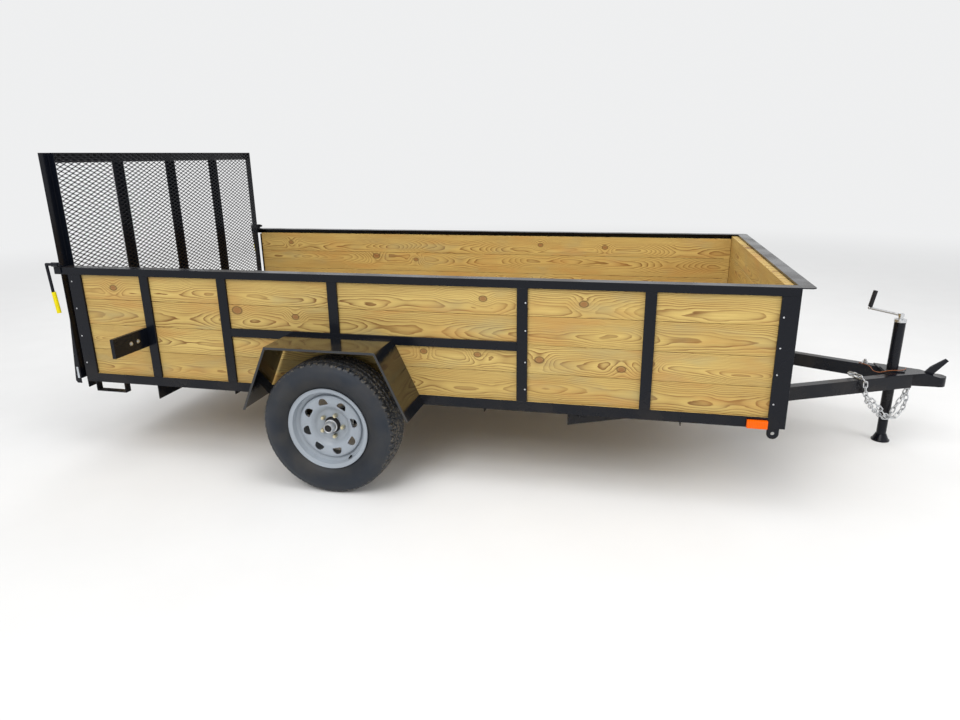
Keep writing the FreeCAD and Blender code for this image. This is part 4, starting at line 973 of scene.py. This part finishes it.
def chain_point(ahead, y, rise):
    """A point given ahead of the jack, across, and above the tubes' lower edge, in mm."""
    return Vector((BED + (JACK_X + ahead) * MM, y * MM, (TONGUE_BOTTOM + rise) * MM))


def wire_link(start, end, turned_over):
    """A welded link of round wire between the points where its neighbours pull on it."""
    along = end - start
    reach = along.length / 2 + CHAIN_WIRE * MM / 2
    middle = (start + end) / 2
    along.normalize()
    normal = along.cross(Vector((0, 1, 0))).normalized()
    across = normal.cross(along)
    if turned_over:
        across, normal = normal, -across
    half = (CHAIN_WIDTH - CHAIN_WIRE) / 2 * MM
    line = []
    for sign in (1, -1):
        for k in range(LINK_ARC + 1):
            t = math.pi * (k / LINK_ARC - 0.5)
            a = sign * (reach - half + half * math.cos(t))
            b = sign * half * math.sin(t)
            line.append((a, b, sign * math.cos(t), sign * math.sin(t)))
    verts = []
    for a, b, out_a, out_b in line:
        spot = middle + along * a + across * b
        outward = along * out_a + across * out_b
        for k in range(LINK_SIDES):
            t = 2 * math.pi * k / LINK_SIDES
            verts.append(spot + (outward * math.cos(t) + normal * math.sin(t))
                         * (CHAIN_WIRE / 2 * MM))
    faces = []
    count = len(line)
    for i in range(count):
        a = i * LINK_SIDES
        b = (i + 1) % count * LINK_SIDES
        for k in range(LINK_SIDES):
            m = (k + 1) % LINK_SIDES
            faces.append([a + k, b + k, b + m, a + m])
    return verts, faces


def pull_points(course):
    """Points one pitch apart, in a straight line, along a course of straight runs."""
    pitch = CHAIN_PITCH * MM
    points = [course[0]]
    for first, last in zip(course, course[1:]):
        run = last - first
        share = 0.0
        while share <= 1:
            behind = first - points[-1]
            a = run.dot(run)
            b = behind.dot(run)
            square = b * b - a * (behind.dot(behind) - pitch * pitch)
            share = (-b + math.sqrt(square)) / a if square > 0 else 2.0
            if share <= 1:
                points.append(first + run * share)
    return points


def safety_chains():
    """Both chains in round wire, and the long link that joins them."""
    links = []
    ends = []
    for course in (NEAR_CHAIN, FAR_CHAIN):
        points = pull_points([chain_point(*p) for p in course])
        ends.append(points[0])
        for i, (first, last) in enumerate(zip(points, points[1:])):
            links.append(wire_link(first, last, i % 2 == 1))
    links.append(wire_link(ends[1], ends[0], True))
    piece = piece_from("safety_chain_links", *merged(links), "chassis", plate, "zinc",
                       sharp=60.0)
    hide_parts("safety_chains")


def lamp_wire():
    """The lamps' wire, laid loosely over the gap between the tubes."""
    curve = bpy.data.curves.new("lamp_wire_strand", "CURVE")
    curve.dimensions = "3D"
    curve.bevel_depth = WIRE_RADIUS
    curve.bevel_resolution = 3
    spline = curve.splines.new("NURBS")
    spline.points.add(len(LAMP_WIRE) - 1)
    for point, (ahead, y, rise) in zip(spline.points, LAMP_WIRE):
        point.co = (BED + (JACK_X + ahead) * MM, y * MM, (TONGUE_TOP + rise) * MM, 1.0)
    spline.use_endpoint_u = True
    spline.order_u = 3
    spline.resolution_u = 8
    curve.use_fill_caps = True
    curve.materials.append(copper)
    piece = linked("lamp_wire_strand", curve)
    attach(piece, "chassis")
    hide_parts("lamp_wire")
    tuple(tuple(spline.points[0].co)[:3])


def floor():
    """Pale floor that turns into the background far away."""
    mesh = bpy.data.meshes.new("floor")
    corners = [(x * FLOOR_REACH, y * FLOOR_REACH, 0)
               for x, y in ((-1, -1), (1, -1), (1, 1), (-1, 1))]
    mesh.from_pydata(corners, [], [[0, 1, 2, 3]])
    linked("floor", mesh)
    s = Shade("floor")
    s.surface(Base_Color=s.mix(s.noise(3.0, 4.0), rgb(0.76, 0.755, 0.745),
                               rgb(0.8, 0.795, 0.785)))
    s.shader.inputs["Roughness"].default_value = 0.9
    s.shader.inputs["Specular IOR Level"].default_value = 0.2
    x, y = s.split(s.place)[:2]
    away = s.math("SQRT", s.math("ADD", s.math("MULTIPLY", x, x), s.math("MULTIPLY", y, y)))
    path = s.add("ShaderNodeLightPath").outputs
    seen = s.math("MAXIMUM", s.math("MAXIMUM", path["Is Camera Ray"], path["Is Glossy Ray"]),
                  path["Is Transmission Ray"])
    far = s.math("MULTIPLY", s.between(away, FLOOR_FADE[0], FLOOR_FADE[1]), seen)
    glow = s.add("ShaderNodeEmission", {"Color": BACKGROUND, "Strength": 1.0})
    both = s.add("ShaderNodeMixShader", {0: far, 1: s.shader.outputs[0], 2: glow.outputs[0]})
    s.put(s.tree.nodes["Material Output"].inputs["Surface"], both.outputs[0])
    mesh.materials.append(s.material)


def background():
    """Even light from all round, and a pale background where the camera sees it."""
    world = bpy.data.worlds.new("studio")
    bpy.context.scene.world = world
    world.use_nodes = True
    tree = world.node_tree
    ambient = tree.nodes["Background"]
    ambient.inputs["Color"].default_value = AMBIENT
    ambient.inputs["Strength"].default_value = 1.0
    pale = tree.nodes.new("ShaderNodeBackground")
    pale.inputs["Color"].default_value = BACKGROUND
    pale.inputs["Strength"].default_value = 1.0
    path = tree.nodes.new("ShaderNodeLightPath").outputs
    seen = path["Is Camera Ray"]
    for kind in ("Is Transmission Ray", "Is Glossy Ray"):
        most = tree.nodes.new("ShaderNodeMath")
        most.operation = "MAXIMUM"
        tree.links.new(seen, most.inputs[0])
        tree.links.new(path[kind], most.inputs[1])
        seen = most.outputs[0]
    choose = tree.nodes.new("ShaderNodeMixShader")
    tree.links.new(seen, choose.inputs[0])
    tree.links.new(ambient.outputs[0], choose.inputs[1])
    tree.links.new(pale.outputs[0], choose.inputs[2])
    tree.links.new(choose.outputs[0], tree.nodes["World Output"].inputs["Surface"])


def lamps():
    """Soft lamps, of which only the key one shows in gloss."""
    for name, place, target, size, power in LAMPS:
        lamp = bpy.data.lights.new(name, "AREA")
        lamp.shape = "SQUARE"
        lamp.size = size
        lamp.energy = power
        thing = linked(name, lamp)
        thing.visible_glossy = name == "key"
        thing.location = place
        aim = Vector(target) - Vector(place)
        thing.rotation_euler = aim.to_track_quat("-Z", "Y").to_euler()


def camera():
    """The camera at the photograph's place, turn and field of view."""
    turn, rise, roll = (math.radians(a) for a in CAMERA_ANGLES)
    ahead = Vector((math.sin(turn) * math.cos(rise), math.cos(turn) * math.cos(rise),
                    math.sin(rise)))
    right = Vector((math.cos(turn), -math.sin(turn), 0.0))
    up = right.cross(ahead)
    across = math.cos(roll) * right + math.sin(roll) * up
    upward = -math.sin(roll) * right + math.cos(roll) * up
    data = bpy.data.cameras.new("camera")
    data.sensor_width = 36.0
    data.lens = CAMERA_LENS
    data.clip_start = 0.05
    data.clip_end = 200.0
    thing = linked("camera", data)
    basis = Matrix((across, upward, -ahead)).transposed().to_4x4()
    thing.matrix_world = Matrix.Translation(CAMERA_PLACE) @ basis
    bpy.context.scene.camera = thing


STEEL_NODES = [n for n, slot in slots.items()
               if slot in ("black_paint", "zinc", "yellow_vinyl")
               and n not in ("gate_mesh", "hub_left", "hub_right", "jack_crank",
                             "safety_chains")]
for node in STEEL_NODES:
    fine_copy(node, STEEL_EDGE)
for node in ("fender_left", "fender_right"):
    fine_copy(node, SHEET_EDGE)
for node in ("side_boards_left", "side_boards_right", "front_boards", "floor_planks",
             "corner_strips"):
    fine_copy(node, BOARD_EDGE, segments=3)
for node in ("tail_lamps", "side_markers"):
    fine_copy(node, LENS_EDGE, segments=3)
fine_copy("jack_crank", CRANK_EDGE)
fine_copy("jack_grip", GRIP_EDGE)
for side, out in (("left", 1), ("right", -1)):
    tyre(side, out)
    wheel(side, out)
expanded_mesh()
post_screws()
floor_screws()
bolts()
reflective_strips()
safety_chains()
lamp_wire()
floor()
background()
lamps()
camera()
bpy.context.scene.view_settings.view_transform = "Standard"
